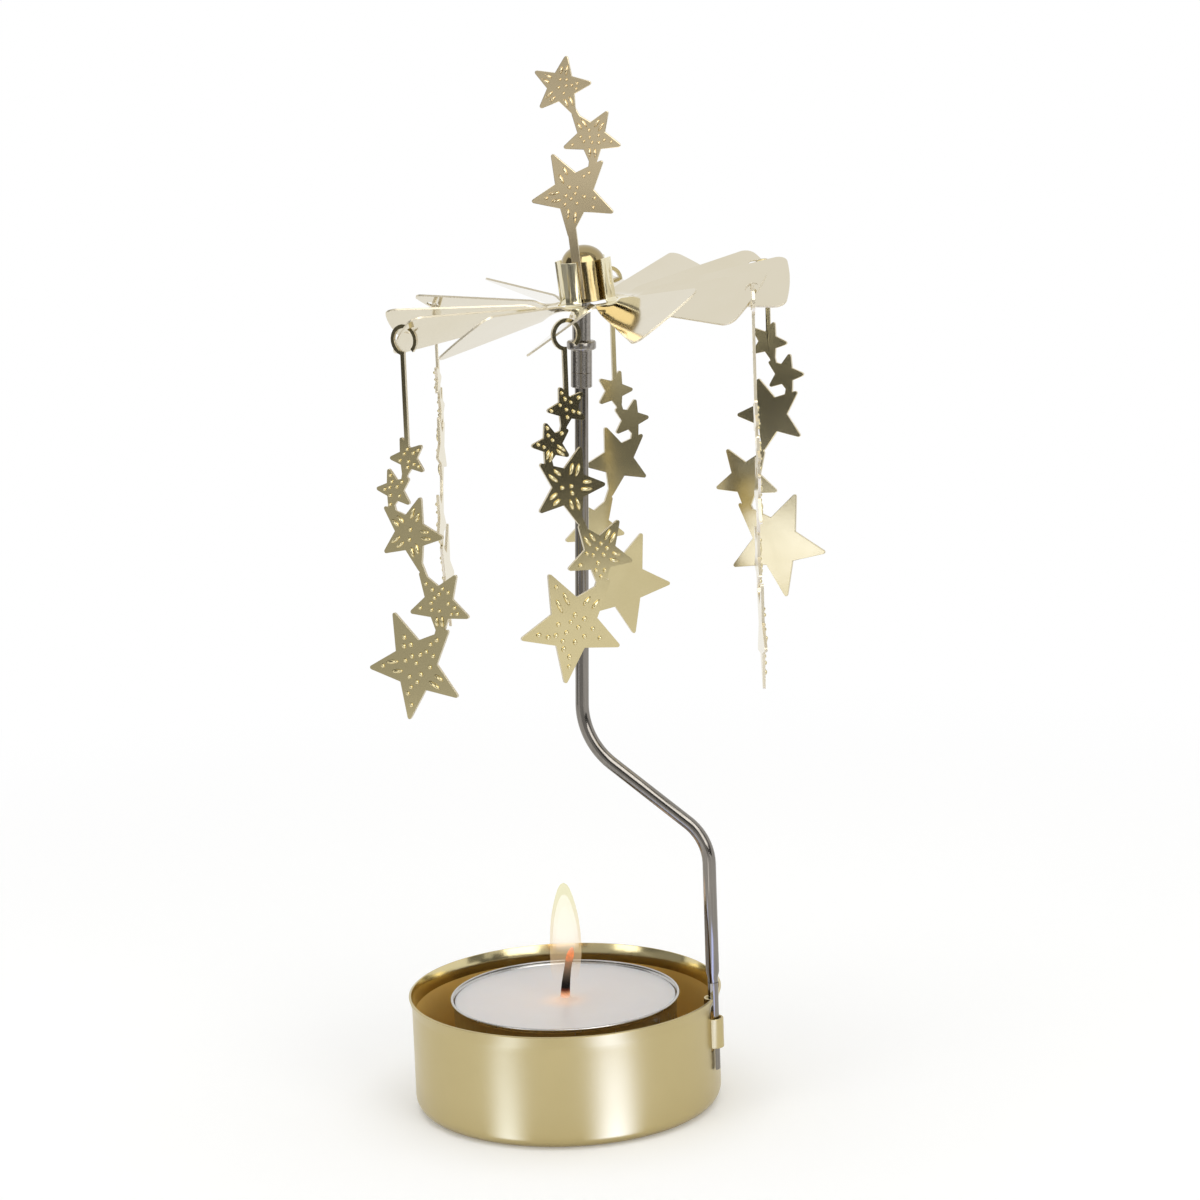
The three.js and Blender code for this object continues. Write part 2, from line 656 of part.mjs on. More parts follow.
function tealightWax() {
  const bottom = TEALIGHT_SHEET;
  const top = TEALIGHT_HEIGHT - WAX_BELOW_RIM;
  const foot = shellRadius - TEALIGHT_TAPER - TEALIGHT_SHEET - CLEARANCE;
  const wellTop = bottom + TEALIGHT_SHEET + CLEARANCE;
  const neckTop = bottom + SUSTAINER_NECK + CLEARANCE;
  const well = SUSTAINER_DIAMETER / 2 + CLEARANCE;
  return part('tealight_wax', turned([
    [well, bottom],
    [foot, bottom],
    [foot + TEALIGHT_TAPER * top / TEALIGHT_HEIGHT, top],
    [wickBore, top],
    [wickBore, neckTop],
    [neckRadius + CLEARANCE, neckTop],
    [neckRadius + CLEARANCE, wellTop],
    [well, wellTop],
    [well, bottom],
  ]), WAX);
}

function wickSustainer() {
  const bottom = TEALIGHT_SHEET;
  return part('wick_sustainer', turned([
    [0, bottom],
    [SUSTAINER_DIAMETER / 2, bottom],
    [SUSTAINER_DIAMETER / 2, bottom + TEALIGHT_SHEET],
    [neckRadius, bottom + TEALIGHT_SHEET],
    [neckRadius, bottom + SUSTAINER_NECK],
    [wickBore, bottom + SUSTAINER_NECK],
    [wickBore, bottom + TEALIGHT_SHEET],
    [0, bottom + TEALIGHT_SHEET],
  ], SMALL_ROUND), ALUMINIUM);
}

function wick() {
  const foot = 2 * TEALIGHT_SHEET;
  const waxTop = TEALIGHT_HEIGHT - WAX_BELOW_RIM;
  const path = new THREE.CurvePath();
  const bendStart = new THREE.Vector3(0, 0, waxTop);
  const middle = new THREE.Vector3(0, 0, waxTop + WICK_STANDOUT / 2);
  const tip = new THREE.Vector3(WICK_LEAN, 0, waxTop + WICK_STANDOUT);
  path.add(new THREE.LineCurve3(new THREE.Vector3(0, 0, foot), bendStart));
  path.add(new THREE.QuadraticBezierCurve3(bendStart, middle, tip));
  const options = { steps: WICK_STEPS, extrudePath: path };
  return part('wick', new THREE.ExtrudeGeometry(roundShape(WICK_DIAMETER, WICK_SIDES), options), WICK);
}

function tealight() {
  const group = new THREE.Group();
  group.position.z = shellBottom;
  group.add(tealightShell(), tealightWax(), wickSustainer(), wick());
  return group;
}

// Assembly
const holder = new THREE.Group();
const top = standTop();
top.updateMatrixWorld(true);
const rotor = rotorGroup(top.localToWorld(new THREE.Vector3(0, 0, needleTip)));
holder.add(candleCup(), standRod(), top, rotor, tealight());
for (let i = 0; i < PENDANT_COUNT; i += 1) {
  holder.add(hangPendant(rotor, i));
}

export default holder;
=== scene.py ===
"""Rotating candle holder: a tealight cup, a bent rod, and a bladed wheel hung with star pendants."""

import json
import math
import random

import bmesh
import bpy
from bmesh.types import BMEdge, BMVert
from mathutils import Matrix, Quaternion, Vector


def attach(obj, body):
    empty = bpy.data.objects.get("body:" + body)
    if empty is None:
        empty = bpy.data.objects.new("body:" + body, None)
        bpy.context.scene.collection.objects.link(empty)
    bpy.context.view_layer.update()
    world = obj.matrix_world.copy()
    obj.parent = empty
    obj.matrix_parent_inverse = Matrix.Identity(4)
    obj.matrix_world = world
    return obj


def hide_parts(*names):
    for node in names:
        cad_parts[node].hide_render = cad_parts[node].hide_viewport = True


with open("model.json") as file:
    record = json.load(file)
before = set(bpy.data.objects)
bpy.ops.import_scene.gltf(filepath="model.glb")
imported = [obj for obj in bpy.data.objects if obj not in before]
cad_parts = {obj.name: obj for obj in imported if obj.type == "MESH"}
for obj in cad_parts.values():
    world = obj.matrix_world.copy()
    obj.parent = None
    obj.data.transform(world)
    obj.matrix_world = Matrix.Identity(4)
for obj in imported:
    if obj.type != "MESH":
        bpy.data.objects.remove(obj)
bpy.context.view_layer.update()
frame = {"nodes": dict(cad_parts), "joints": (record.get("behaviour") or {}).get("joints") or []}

bl_info = {
    "name": "Rotating Candle Holder",
    "version": (1, 0, 0),
    "blender": (4, 5, 0),
    "location": "View3D > Sidebar > Candle Holder",
    "description": "Builds the pieces and finishes of a rotating candle holder around its CAD frame",
    "category": "Mesh",
}

MM = 0.001
WELD = 0.002 * MM
EDGE_ANGLE = math.radians(50)
FULL_TURN = 2 * math.pi
QUARTER_TURN = math.pi / 2
STAR_POINTS = 5
BLADE_COUNT = 12
FINGER_COUNT = 4
Z_AXIS = Vector((0, 0, 1))
ORIGIN = Vector((0, 0, 0))
PENDANTS = [f"pendant_{i + 1}" for i in range(BLADE_COUNT // 2)]

# Each star of a chain: across and down from the first one and radius to the tips in millimetres, turn
# clockwise from upright in degrees, and the share of its arms that carry dashes
PENDANT_STARS = [
    (-0.28, 0, 3.98, -20, 0),
    (-3.16, 5.19, 3.99, -17, 0.4),
    (-0.47, 11.91, 6.75, 21, 1),
    (4.44, 22.82, 6.4, 36, 0.4),
    (-0.7, 33.2, 9.6, -25, 0.3),
]
ORNAMENT_STARS = [
    (1.07, 0, 7.5, -22.7, 0.6),
    (5.11, -8.4, 5.35, -32, 0.6),
    (1.35, -16.67, 5.35, 17.3, 0.8),
]


def hex_colour(code):
    """An sRGB hex colour as linear red, green and blue."""
    shares = [int(code[i:i + 2], 16) / 255 for i in (0, 2, 4)]
    return tuple(s / 12.92 if s <= 0.04045 else ((s + 0.055) / 1.055) ** 2.4 for s in shares)


def length(name, description, millimetres):
    """A length property, given in millimetres."""
    return bpy.props.FloatProperty(
        name=name, description=description, default=millimetres * MM, precision=5, unit="LENGTH")


def angle(name, description, degrees):
    """An angle property, given in degrees."""
    return bpy.props.FloatProperty(
        name=name, description=description, default=math.radians(degrees), subtype="ANGLE")


def colour(name, description, code):
    """A colour property, given as an sRGB hex value."""
    return bpy.props.FloatVectorProperty(
        name=name, description=description, default=hex_colour(code), subtype="COLOR", min=0, max=1)


class CupSizes(bpy.types.PropertyGroup):
    """Sizes of the candle cup."""

    radius: length("Radius", "Outside of the wall", 25.4)
    height: length("Height", "Underside to rim", 19)
    sheet: length("Sheet", "Thickness of the sheet", 0.4)
    corner: length("Corner", "Radius between wall and bottom", 2.4)
    rim_flare: length("Rim flare", "How far the rim band stands out", 0.5)
    rim_band: length("Rim band", "Height of the flared rim band", 2.1)
    slit: length("Slit", "Width of the slits beside the clip's loops", 0.5)
    strap_bottom: length("Strap bottom", "Lower edge of the outward loop", 10.6)
    strap_top: length("Strap top", "Upper edge of the outward loop", 15.6)
    bore: length("Clip bore", "Bore of the clip's loops", 2.3)


class StandSizes(bpy.types.PropertyGroup):
    """Sizes of the rod, the sleeve and the places they share."""

    foot_x: length("Foot place", "From the cup's centre to the rod's foot", 25.45)
    rod: length("Rod", "Diameter of the rod", 2.2)
    foot: length("Foot", "Diameter of the split foot", 1.7)
    shoulder: length("Shoulder", "Height where the foot meets the full rod", 23.4)
    taper: length("Taper", "Length of the taper under the shoulder", 1)
    tongue_tip: length("Tongue tip", "Height of the long tongue's end", 6.7)
    leg_tip: length("Leg tip", "Height of the short leg's end", 17.2)
    slot: length("Slot", "Width of the split", 0.5)
    crotch: length("Crotch", "Height where the split starts", 21.5)
    lower_bend: length("Lower bend", "Height of the lower bend's corner", 45.8)
    lower_radius: length("Lower radius", "Radius of the lower bend", 8.5)
    upper_bend: length("Upper bend", "Height of the upper bend's corner", 61.5)
    upper_radius: length("Upper radius", "Radius of the upper bend", 12)
    reach: length("Reach", "How far the bends bring the rod in", 20.8)
    lean: angle("Lean", "Lean of the rod's upper part", 2.1)
    top_length: length("Top length", "From the upper bend's corner to the rod's end", 62.6)
    grip: length("Grip", "Length of rod inside the sleeve", 4.6)
    sleeve_lower: length("Sleeve, lower", "Diameter of the sleeve's lower part", 3.4)
    sleeve_lower_length: length("Lower length", "Length of the sleeve's lower part", 6.1)
    sleeve_flange: length("Flange", "Diameter of the sleeve's flange", 4.7)
    sleeve_flange_height: length("Flange height", "Height of the sleeve's flange", 1.4)
    sleeve_upper: length("Sleeve, upper", "Diameter of the sleeve's upper part", 2.95)
    sleeve_upper_length: length("Upper length", "Length of the sleeve's upper part", 7.5)
    sleeve_bore: length("Sleeve bore", "Bore that takes the rod", 2.8)
    needle_bore: length("Needle bore", "Bore that takes the needle", 1.8)
    needle_seat: length("Needle seat", "Depth of the needle's bore", 3)
    scribe_height: length("Scribe height", "Height of the scribed line on the sleeve", 2.4)
    scribe_depth: length("Scribe depth", "Depth of the scribed line", 0.07)


class WheelSizes(bpy.types.PropertyGroup):
    """Sizes of the wheel, its collar and the hub cap."""

    radius: length("Radius", "Centre to the blade tips", 32.25)
    sheet: length("Sheet", "Thickness of the sheet", 0.32)
    drop: length("Drop", "From the needle's point down to the wheel", 8.64)
    tilt: angle("Tilt", "How far the wheel rests out of level", 5.4)
    high_side: angle("High side", "Direction of the wheel's high side", 25)
    phase: angle("Phase", "Direction of the first blade", -21)
    half_angle: angle("Blade half angle", "Half of the angle that a blade takes up", 12)
    pitch: angle("Pitch", "How far each blade is twisted", 29)
    twist: length("Twist length", "Length over which a blade twists", 3.6)
    corner: length("Corner", "Radius of the blade's corners", 1.8)
    hole: length("Hole", "Diameter of the hole for a pendant's ring", 2.2)
    hole_edge: length("Hole edge", "Metal left outside the hole", 0.45)
    hole_shift: length("Hole shift", "From the blade's middle line to the hole", 2.4)
    ring_inner: length("Ring, inside", "Inner radius of the hub ring", 4.85)
    ring_outer: length("Ring, outside", "Outer radius of the hub ring", 6.65)
    ring_sheet: length("Ring thickness", "Thickness of the hub ring", 0.5)
    collar: length("Collar", "Radius of the fingers, at the middle of the sheet", 4.4)
    finger_half: angle("Finger half angle", "Half of the angle that a finger takes up", 18.5)
    finger_height: length("Finger height", "Height of the fingers", 7.1)
    finger_foot: length("Finger foot", "Radius of the bend at a finger's foot", 0.9)
    finger_flare: length("Finger flare", "How far a finger's tip stands out", 0.03)
    first_finger: angle("First finger", "Direction of the first finger", -104.5)
    cap: length("Cap", "Diameter of the hub cap", 6.9)
    cap_dome: length("Cap dome", "Height of the hub cap's dome", 2.8)
    cap_top: length("Cap top", "Top of the hub cap above the needle's point", 0.7)
    cap_skirt: length("Cap skirt", "Lower edge of the hub cap under the needle's point", 8.09)


class StarSizes(bpy.types.PropertyGroup):
    """Sizes of the star plates."""

    sheet: length("Sheet", "Thickness of the plate", 0.45)
    edge: length("Edge", "Rounding of the plate's edges", 0.07)
    long_drop: length("Long stem", "Ring centre to the first star, long pendants", 18.6)
    short_drop: length("Short stem", "Ring centre to the first star, short pendants", 11.1)
    ornament_turn: angle("Ornament turn", "Direction that the ornament faces", -88)
    ornament_radius: length("Ornament place", "Wheel axis to the ornament's plate", 3.825)
    ornament_drop: length("Ornament height", "Needle's point to the ornament's first star", -9.26)
    boss: length("Boss", "Diameter of an embossed dot on the largest star", 0.76)
    ornament_boss: length("Ornament boss", "Diameter of a dot on the ornament's largest star", 0.58)
    boss_height: length("Boss height", "How far the embossed work stands out", 0.36)


class TealightSizes(bpy.types.PropertyGroup):
    """Sizes of the tealight and its flame."""

    base: length("Base", "Height of the shell's underside", 0.4)
    radius: length("Radius", "Outside of the rim bead", 19)
    height: length("Height", "Height of the shell", 17.8)
    sheet: length("Sheet", "Thickness of the foil", 0.3)
    bead: length("Bead", "How far the rim stands out from the wall", 0.5)
    lip: length("Lip", "Radius of the rim's rolled lip", 0.24)
    taper: length("Taper", "How much narrower the foot is", 0.5)
    flute: length("Flute", "Depth of the crimped flutes", 0.1)
    wax_drop: length("Wax drop", "Wax below the rim", 1)
    wick: length("Wick", "Diameter of the wick", 1.5)
    wick_height: length("Wick height", "Wick above the wax", 8.9)
    wick_lean: length("Wick lean", "Sideways reach of the wick's tip", 1.5)
    flame: length("Flame", "Widest diameter of the flame", 5.2)
    flame_height: length("Flame height", "Height of the flame", 19.9)


class Finishes(bpy.types.PropertyGroup):
    """Colours of the finishes."""

    brass: colour("Brass", "Satin brass plate of the cup", "C4B587")
    brass_shade: colour("Brass, shade", "Clouding of the satin brass plate", "B9A97A")
    # Painted light: the inside of the cup is a brighter, deeper gold than the outside, for the light bouncing
    # round inside it
    inside_brass_and_glow: colour("Inner brass", "Bare brass inside the cup", "F2D48A")
    inside_shade_and_glow: colour("Inner brass, shade", "Clouding inside the cup", "E0BF68")
    sheared: colour("Sheared edge", "Cut edges of the sheet metal", "DCD2BC")
    star_brass: colour("Star brass", "Bright brass of the stamped stars", "D9CCA0")
    star_shade: colour("Star brass, shade", "Clouding of the stamped stars", "CEBF90")
    ornament: colour("Ornament", "Pale brass of the top ornament", "DCCBA7")
    ornament_shade: colour("Ornament, shade", "Clouding of the top ornament", "D0BE98")
    champagne: colour("Champagne", "Bright brass plate of the blades", "DED7C5")
    champagne_shade: colour("Champagne, shade", "Clouding of the blades", "D6CDB4")
    gold: colour("Gold", "Polished brass of the collar", "BBA872")
    gold_shade: colour("Gold, shade", "Clouding of the collar", "A89358")
    cap: colour("Cap", "Gold of the hub cap", "A99A75")
    cap_shade: colour("Cap, shade", "Clouding of the hub cap", "9C8A5F")
    steel: colour("Steel", "Drawn nickel steel", "98938C")
    steel_shade: colour("Steel, shade", "Drawing lines in the steel", "6E6962")
    turned: colour("Turned steel", "Turned nickel steel of the sleeve", "A6A199")
    turned_shade: colour("Turned steel, shade", "Tool lines in the sleeve", "85807A")
    foil: colour("Foil", "Pressed aluminium", "C8C6C3")
    foil_shade: colour("Foil, shade", "Rolling lines in the aluminium", "B0AEAA")
    wax: colour("Wax", "Paraffin wax", "D4D1CF")
    # Painted light: the flame's warm glow on the wax round the wick
    wax_painted_glow: colour("Wax, warm", "Wax near the flame", "EAD6C4")
    char: colour("Char", "Charred wick", "080504")
    ember: colour("Ember", "Glowing wick tip", "E06418")
    flame_edge: colour("Flame edge", "Outside of the flame", "EBCB90")
    flame_tip: colour("Flame tip", "Tip of the flame", "E2D970")
    flame_core: colour("Flame core", "Middle of the flame", "FFFEFA")
    flame_foot: colour("Flame foot", "Foot of the flame", "F3D8C4")
    flame_light: colour("Flame light", "Light that the flame sheds", "FFC98A")
    floor: colour("Floor", "Pale floor", "F4F4F3")


class HolderSettings(bpy.types.PropertyGroup):
    """All sizes and colours of the candle holder."""

    cup: bpy.props.PointerProperty(type=CupSizes)
    stand: bpy.props.PointerProperty(type=StandSizes)
    wheel: bpy.props.PointerProperty(type=WheelSizes)
    stars: bpy.props.PointerProperty(type=StarSizes)
    tealight: bpy.props.PointerProperty(type=TealightSizes)
    finishes: bpy.props.PointerProperty(type=Finishes)


# Materials

MIX_FACTOR, MIX_A, MIX_B, MIX_RESULT = 0, 6, 7, 2


def add_node(tree, kind, inputs=None, **settings):
    """Adds a node. Each input is a value or a socket, found by its name or number."""
    made = tree.nodes.new(kind)
    for key, value in settings.items():
        setattr(made, key, value)
    for key, value in (inputs or {}).items():
        if isinstance(value, bpy.types.NodeSocket):
            tree.links.new(value, made.inputs[key])
        else:
            made.inputs[key].default_value = value
    return made


def new_finish(name):
    """An empty node material and its tree."""
    finish = bpy.data.materials.new(name)
    finish.use_nodes = True
    finish.node_tree.nodes.clear()
    return finish, finish.node_tree


def opaque(tone):
    """A colour with full alpha."""
    return (*tone, 1)


def plated_brass(name, tone, shade, roughness, cloud_mm, peel_mm, peel_height_mm):
    """Brass plate over pressed sheet: even gold, faint clouds, and an orange peel that breaks highlights."""
    finish, tree = new_finish(name)
    place = add_node(tree, "ShaderNodeTexCoord").outputs["Object"]
    cloud = add_node(tree, "ShaderNodeTexNoise", {
        "Vector": place, "Scale": 1 / (cloud_mm * MM), "Detail": 4, "Roughness": 0.55})
    tint = add_node(tree, "ShaderNodeMix", {
        MIX_FACTOR: cloud.outputs["Fac"], MIX_A: opaque(tone), MIX_B: opaque(shade)}, data_type="RGBA")
    gloss = add_node(tree, "ShaderNodeMapRange", {
        "Value": cloud.outputs["Fac"], "To Min": roughness * 0.8, "To Max": roughness * 1.25})
    peel = add_node(tree, "ShaderNodeTexNoise", {
        "Vector": place, "Scale": 1 / (peel_mm * MM), "Detail": 2})
    relief = add_node(tree, "ShaderNodeBump", {
        "Height": peel.outputs["Fac"], "Distance": peel_height_mm * MM, "Strength": 1})
    shader = add_node(tree, "ShaderNodeBsdfPrincipled", {
        "Base Color": tint.outputs[MIX_RESULT], "Roughness": gloss.outputs["Result"],
        "Normal": relief.outputs["Normal"], "Metallic": 1})
    add_node(tree, "ShaderNodeOutputMaterial", {"Surface": shader.outputs["BSDF"]})
    return finish


def lined_metal(name, tone, shade, roughness, stretch, line_mm, line_height_mm):
    """Drawn or turned metal: fine lines that run one way, a little darker and rougher in their valleys."""
    finish, tree = new_finish(name)
    place = add_node(tree, "ShaderNodeTexCoord").outputs["Object"]
    along = add_node(tree, "ShaderNodeMapping", {"Vector": place, "Scale": stretch})
    lines = add_node(tree, "ShaderNodeTexNoise", {
        "Vector": along.outputs["Vector"], "Scale": 1 / (line_mm * MM), "Detail": 3, "Roughness": 0.6})
    tint = add_node(tree, "ShaderNodeMix", {
        MIX_FACTOR: lines.outputs["Fac"], MIX_A: opaque(shade), MIX_B: opaque(tone)}, data_type="RGBA")
    gloss = add_node(tree, "ShaderNodeMapRange", {
        "Value": lines.outputs["Fac"], "To Min": roughness * 1.3, "To Max": roughness * 0.7})
    relief = add_node(tree, "ShaderNodeBump", {
        "Height": lines.outputs["Fac"], "Distance": line_height_mm * MM, "Strength": 1})
    shader = add_node(tree, "ShaderNodeBsdfPrincipled", {
        "Base Color": tint.outputs[MIX_RESULT], "Roughness": gloss.outputs["Result"],
        "Normal": relief.outputs["Normal"], "Metallic": 1})
    add_node(tree, "ShaderNodeOutputMaterial", {"Surface": shader.outputs["BSDF"]})
    return finish


def paraffin(colours, sizes):
    """Paraffin wax: soft white with light inside it, a painted warm glow of the flame round the wick, and a
    rippled skin.
    """
    finish, tree = new_finish("paraffin_wax")
    place = add_node(tree, "ShaderNodeTexCoord").outputs["Object"]
    split = add_node(tree, "ShaderNodeSeparateXYZ", {"Vector": place})
    flat = add_node(tree, "ShaderNodeCombineXYZ", {
        "X": split.outputs["X"], "Y": split.outputs["Y"]})
    away = add_node(tree, "ShaderNodeVectorMath", {0: flat.outputs["Vector"]}, operation="LENGTH")
    # Painted light: the flame's warm glow on the wax, fading out from the wick
    glow_reach = 3.5 * sizes.wick
    glow_share = add_node(tree, "ShaderNodeMapRange", {
        "Value": away.outputs["Value"], "From Min": 0, "From Max": glow_reach, "To Min": 1, "To Max": 0},
        interpolation_type="SMOOTHSTEP")
    tint = add_node(tree, "ShaderNodeMix", {
        MIX_FACTOR: glow_share.outputs["Result"], MIX_A: opaque(colours.wax),
        MIX_B: opaque(colours.wax_painted_glow)}, data_type="RGBA")
    ripple, ripple_height = 6 * MM, 0.15 * MM
    skin = add_node(tree, "ShaderNodeTexNoise", {"Vector": place, "Scale": 1 / ripple, "Detail": 3})
    gloss = add_node(tree, "ShaderNodeMapRange", {
        "Value": skin.outputs["Fac"], "To Min": 0.3, "To Max": 0.55})
    relief = add_node(tree, "ShaderNodeBump", {
        "Height": skin.outputs["Fac"], "Distance": ripple_height, "Strength": 1})
    shader = add_node(tree, "ShaderNodeBsdfPrincipled", {
        "Base Color": tint.outputs[MIX_RESULT], "Roughness": gloss.outputs["Result"],
        "Normal": relief.outputs["Normal"], "IOR": 1.43, "Subsurface Weight": 0.6,
        "Subsurface Radius": (1.0, 0.8, 0.6), "Subsurface Scale": 2 * MM})
    add_node(tree, "ShaderNodeOutputMaterial", {"Surface": shader.outputs["BSDF"]})
    return finish


def charred_cotton(colours, sizes):
    """Braided cotton, burnt black: a rough braid, its foot painted pale and glowing for the flame's light on
    it, that turns brown and then glows at its tip.
    """
    finish, tree = new_finish("charred_cotton")
    place = add_node(tree, "ShaderNodeTexCoord").outputs["Object"]
    height = add_node(tree, "ShaderNodeSeparateXYZ", {"Vector": place}).outputs["Z"]
    foot = sizes.base + sizes.height - sizes.wax_drop
    share = add_node(tree, "ShaderNodeMapRange", {
        "Value": height, "From Min": foot, "From Max": foot + sizes.wick_height})
    ramp = add_node(tree, "ShaderNodeValToRGB", {"Fac": share.outputs["Result"]})
    # The two palest stops at the foot are painted light: the flame's glow on the wick's foot
    stops = [
        (0.0, hex_colour("F3D9C4")), (0.12, hex_colour("E3A37A")), (0.19, hex_colour("6E3420")),
        (0.24, tuple(colours.char)), (0.46, tuple(colours.char)), (0.6, hex_colour("4A2A1C")),
        (0.74, hex_colour("7A3E22")), (0.84, tuple(colours.ember)),
    ]
    ramp.color_ramp.elements.remove(ramp.color_ramp.elements[1])
    ramp.color_ramp.elements[0].color = opaque(stops[0][1])
    for position, tone in stops[1:]:
        ramp.color_ramp.elements.new(position).color = opaque(tone)
    fleck, plait, plait_height = 0.7 * MM, 2.2 * MM, 0.2 * MM
    flecks = add_node(tree, "ShaderNodeTexNoise", {"Vector": place, "Scale": 1 / fleck, "Detail": 2})
    soot = add_node(tree, "ShaderNodeMapRange", {
        "Value": flecks.outputs["Fac"], "From Min": 0.38, "From Max": 0.6, "To Min": 0.3})
    rising = add_node(tree, "ShaderNodeMapRange", {
        "Value": share.outputs["Result"], "From Min": 0.5, "From Max": 0.86, "To Max": 0.6})
    heat = add_node(tree, "ShaderNodeMath", {
        0: rising.outputs["Result"], 1: soot.outputs["Result"]}, operation="MULTIPLY")
    # Painted light: the wick's foot glows where the flame's light falls on it
    painted_foot_glow = add_node(tree, "ShaderNodeMapRange", {
        "Value": share.outputs["Result"], "From Min": 0.05, "From Max": 0.18,
        "To Min": 0.5, "To Max": 0})
    # The ember's own glow, and the painted glow at the foot
    glow = add_node(tree, "ShaderNodeMath", {
        0: heat.outputs["Value"], 1: painted_foot_glow.outputs["Result"]}, operation="MAXIMUM")
    braid = add_node(tree, "ShaderNodeTexWave", {
        "Vector": place, "Scale": 1 / plait, "Distortion": 3, "Detail": 2}, bands_direction="DIAGONAL")
    relief = add_node(tree, "ShaderNodeBump", {
        "Height": braid.outputs["Fac"], "Distance": plait_height, "Strength": 1})
    shader = add_node(tree, "ShaderNodeBsdfPrincipled", {
        "Base Color": ramp.outputs["Color"], "Normal": relief.outputs["Normal"], "Roughness": 0.95,
        "Specular IOR Level": 0.1,
        "Emission Color": ramp.outputs["Color"], "Emission Strength": glow.outputs["Value"]})
    add_node(tree, "ShaderNodeOutputMaterial", {"Surface": shader.outputs["BSDF"]})
    return finish


def candle_flame(name, colours, sizes, body, tip, strength, thickens, thin, thick):
    """Burning gas: light without a surface, thin and rosy at the foot, dense and pale further up."""
    finish, tree = new_finish(name)
    place = add_node(tree, "ShaderNodeTexCoord").outputs["Object"]
    height = add_node(tree, "ShaderNodeSeparateXYZ", {"Vector": place}).outputs["Z"]
    foot = sizes.base + sizes.height - sizes.wax_drop
    share = add_node(tree, "ShaderNodeMapRange", {
        "Value": height, "From Min": foot, "From Max": foot + sizes.flame_height})
    ramp = add_node(tree, "ShaderNodeValToRGB", {"Fac": share.outputs["Result"]})
    ramp.color_ramp.elements[0].position = 0.12
    ramp.color_ramp.elements[0].color = opaque(colours.flame_foot)
    ramp.color_ramp.elements[1].position = 0.5
    ramp.color_ramp.elements[1].color = opaque(body)
    ramp.color_ramp.elements.new(0.9).color = opaque(tip)
    density = add_node(tree, "ShaderNodeMapRange", {
        "Value": share.outputs["Result"], "From Min": thickens[0], "From Max": thickens[1],
        "To Min": thin, "To Max": thick}, interpolation_type="SMOOTHSTEP")
    clear = add_node(tree, "ShaderNodeBsdfTransparent")
    light = add_node(tree, "ShaderNodeEmission", {"Color": ramp.outputs["Color"], "Strength": strength})
    blend = add_node(tree, "ShaderNodeMixShader", {
        "Fac": density.outputs["Result"], 1: clear.outputs["BSDF"], 2: light.outputs["Emission"]})
    add_node(tree, "ShaderNodeOutputMaterial", {"Surface": blend.outputs["Shader"]})
    return finish


# Plated brass: its two tones, its roughness, and in millimetres the size of its clouds and the size and
# height of its orange peel. The peel is coarser than on the real plate, so that it shows.
PLATED_BRASS = {
    # Satin plate outside the cup: broad and soft highlights
    "satin_brass_plate": ("brass", "brass_shade", 0.3, 22, 0.9, 0.006),
    # Bright plate of the blades: close to a mirror, so they take on the tones around them
    "champagne_brass_plate": ("champagne", "champagne_shade", 0.07, 14, 1.6, 0.003),
    # Unpolished brass inside the cup, without highlights; its brighter and deeper gold than the outside is
    # painted light for the glow bouncing round inside the cup
    "rough_inside_brass_and_glow": ("inside_brass_and_glow", "inside_shade_and_glow", 0.72, 16, 1.4, 0.008),
    # Rim that the press has burnished: short and bright streaks
    "burnished_rim_brass": ("star_brass", "star_shade", 0.14, 22, 2.2, 0.016),
    # Cut edges: pale and dull, they outline each sheet
    "sheared_brass_edge": ("sheared", "champagne_shade", 0.4, 5, 0.5, 0.004),
    # Polished collar: clear reflections that waver where the sheet was bent
    "polished_brass": ("gold", "gold_shade", 0.1, 6, 2.2, 0.02),
    # Deep-drawn cap: clear reflections, pulled into upright streaks
    "drawn_gold_cap": ("cap", "cap_shade", 0.12, 5, 2.4, 0.03),
    # Stamped pendants: flat plates that flash or go dark as a whole
    "stamped_brass_sheet": ("star_brass", "star_shade", 0.12, 7, 1.1, 0.0015),
    # Stamped ornament: the same sheet under a paler plate
    "pale_stamped_brass": ("ornament", "ornament_shade", 0.12, 7, 1.1, 0.0015),
}

# Lined metal: its two tones, its roughness, the scale of the lines along each axis, and their spacing and
# height in millimetres. The lines are wider apart than on the real metal, so that they show.
LINED_METAL = {
    # Drawn wire of the rod: long and faint lines, narrow upright highlights
    "drawn_nickel_wire": ("steel", "steel_shade", 0.12, (1, 1, 0.04), 0.35, 0.004),
    # Turned sleeve and needle: rings that soften the highlights
    "turned_nickel_steel": ("turned", "turned_shade", 0.2, (0.3, 0.3, 1), 0.3, 0.006),
    # Pressed foil of the tealight: a soft upright grain
    "pressed_aluminium": ("foil", "foil_shade", 0.25, (1, 1, 0.2), 0.8, 0.01),
}

# Flame: the tones of its body and its tip, its strength, the shares of its height between which it thickens,
# and its density below and above them
FLAMES = {
    # Outer mantle: thin and yellow
    "flame_mantle": ("flame_edge", "flame_tip", 1, (0.14, 0.42), 0.008, 0.28),
    # Heart: dense and almost white
    "flame_heart": ("flame_core", "flame_core", 1.15, (0.4, 0.6), 0, 0.55),
}


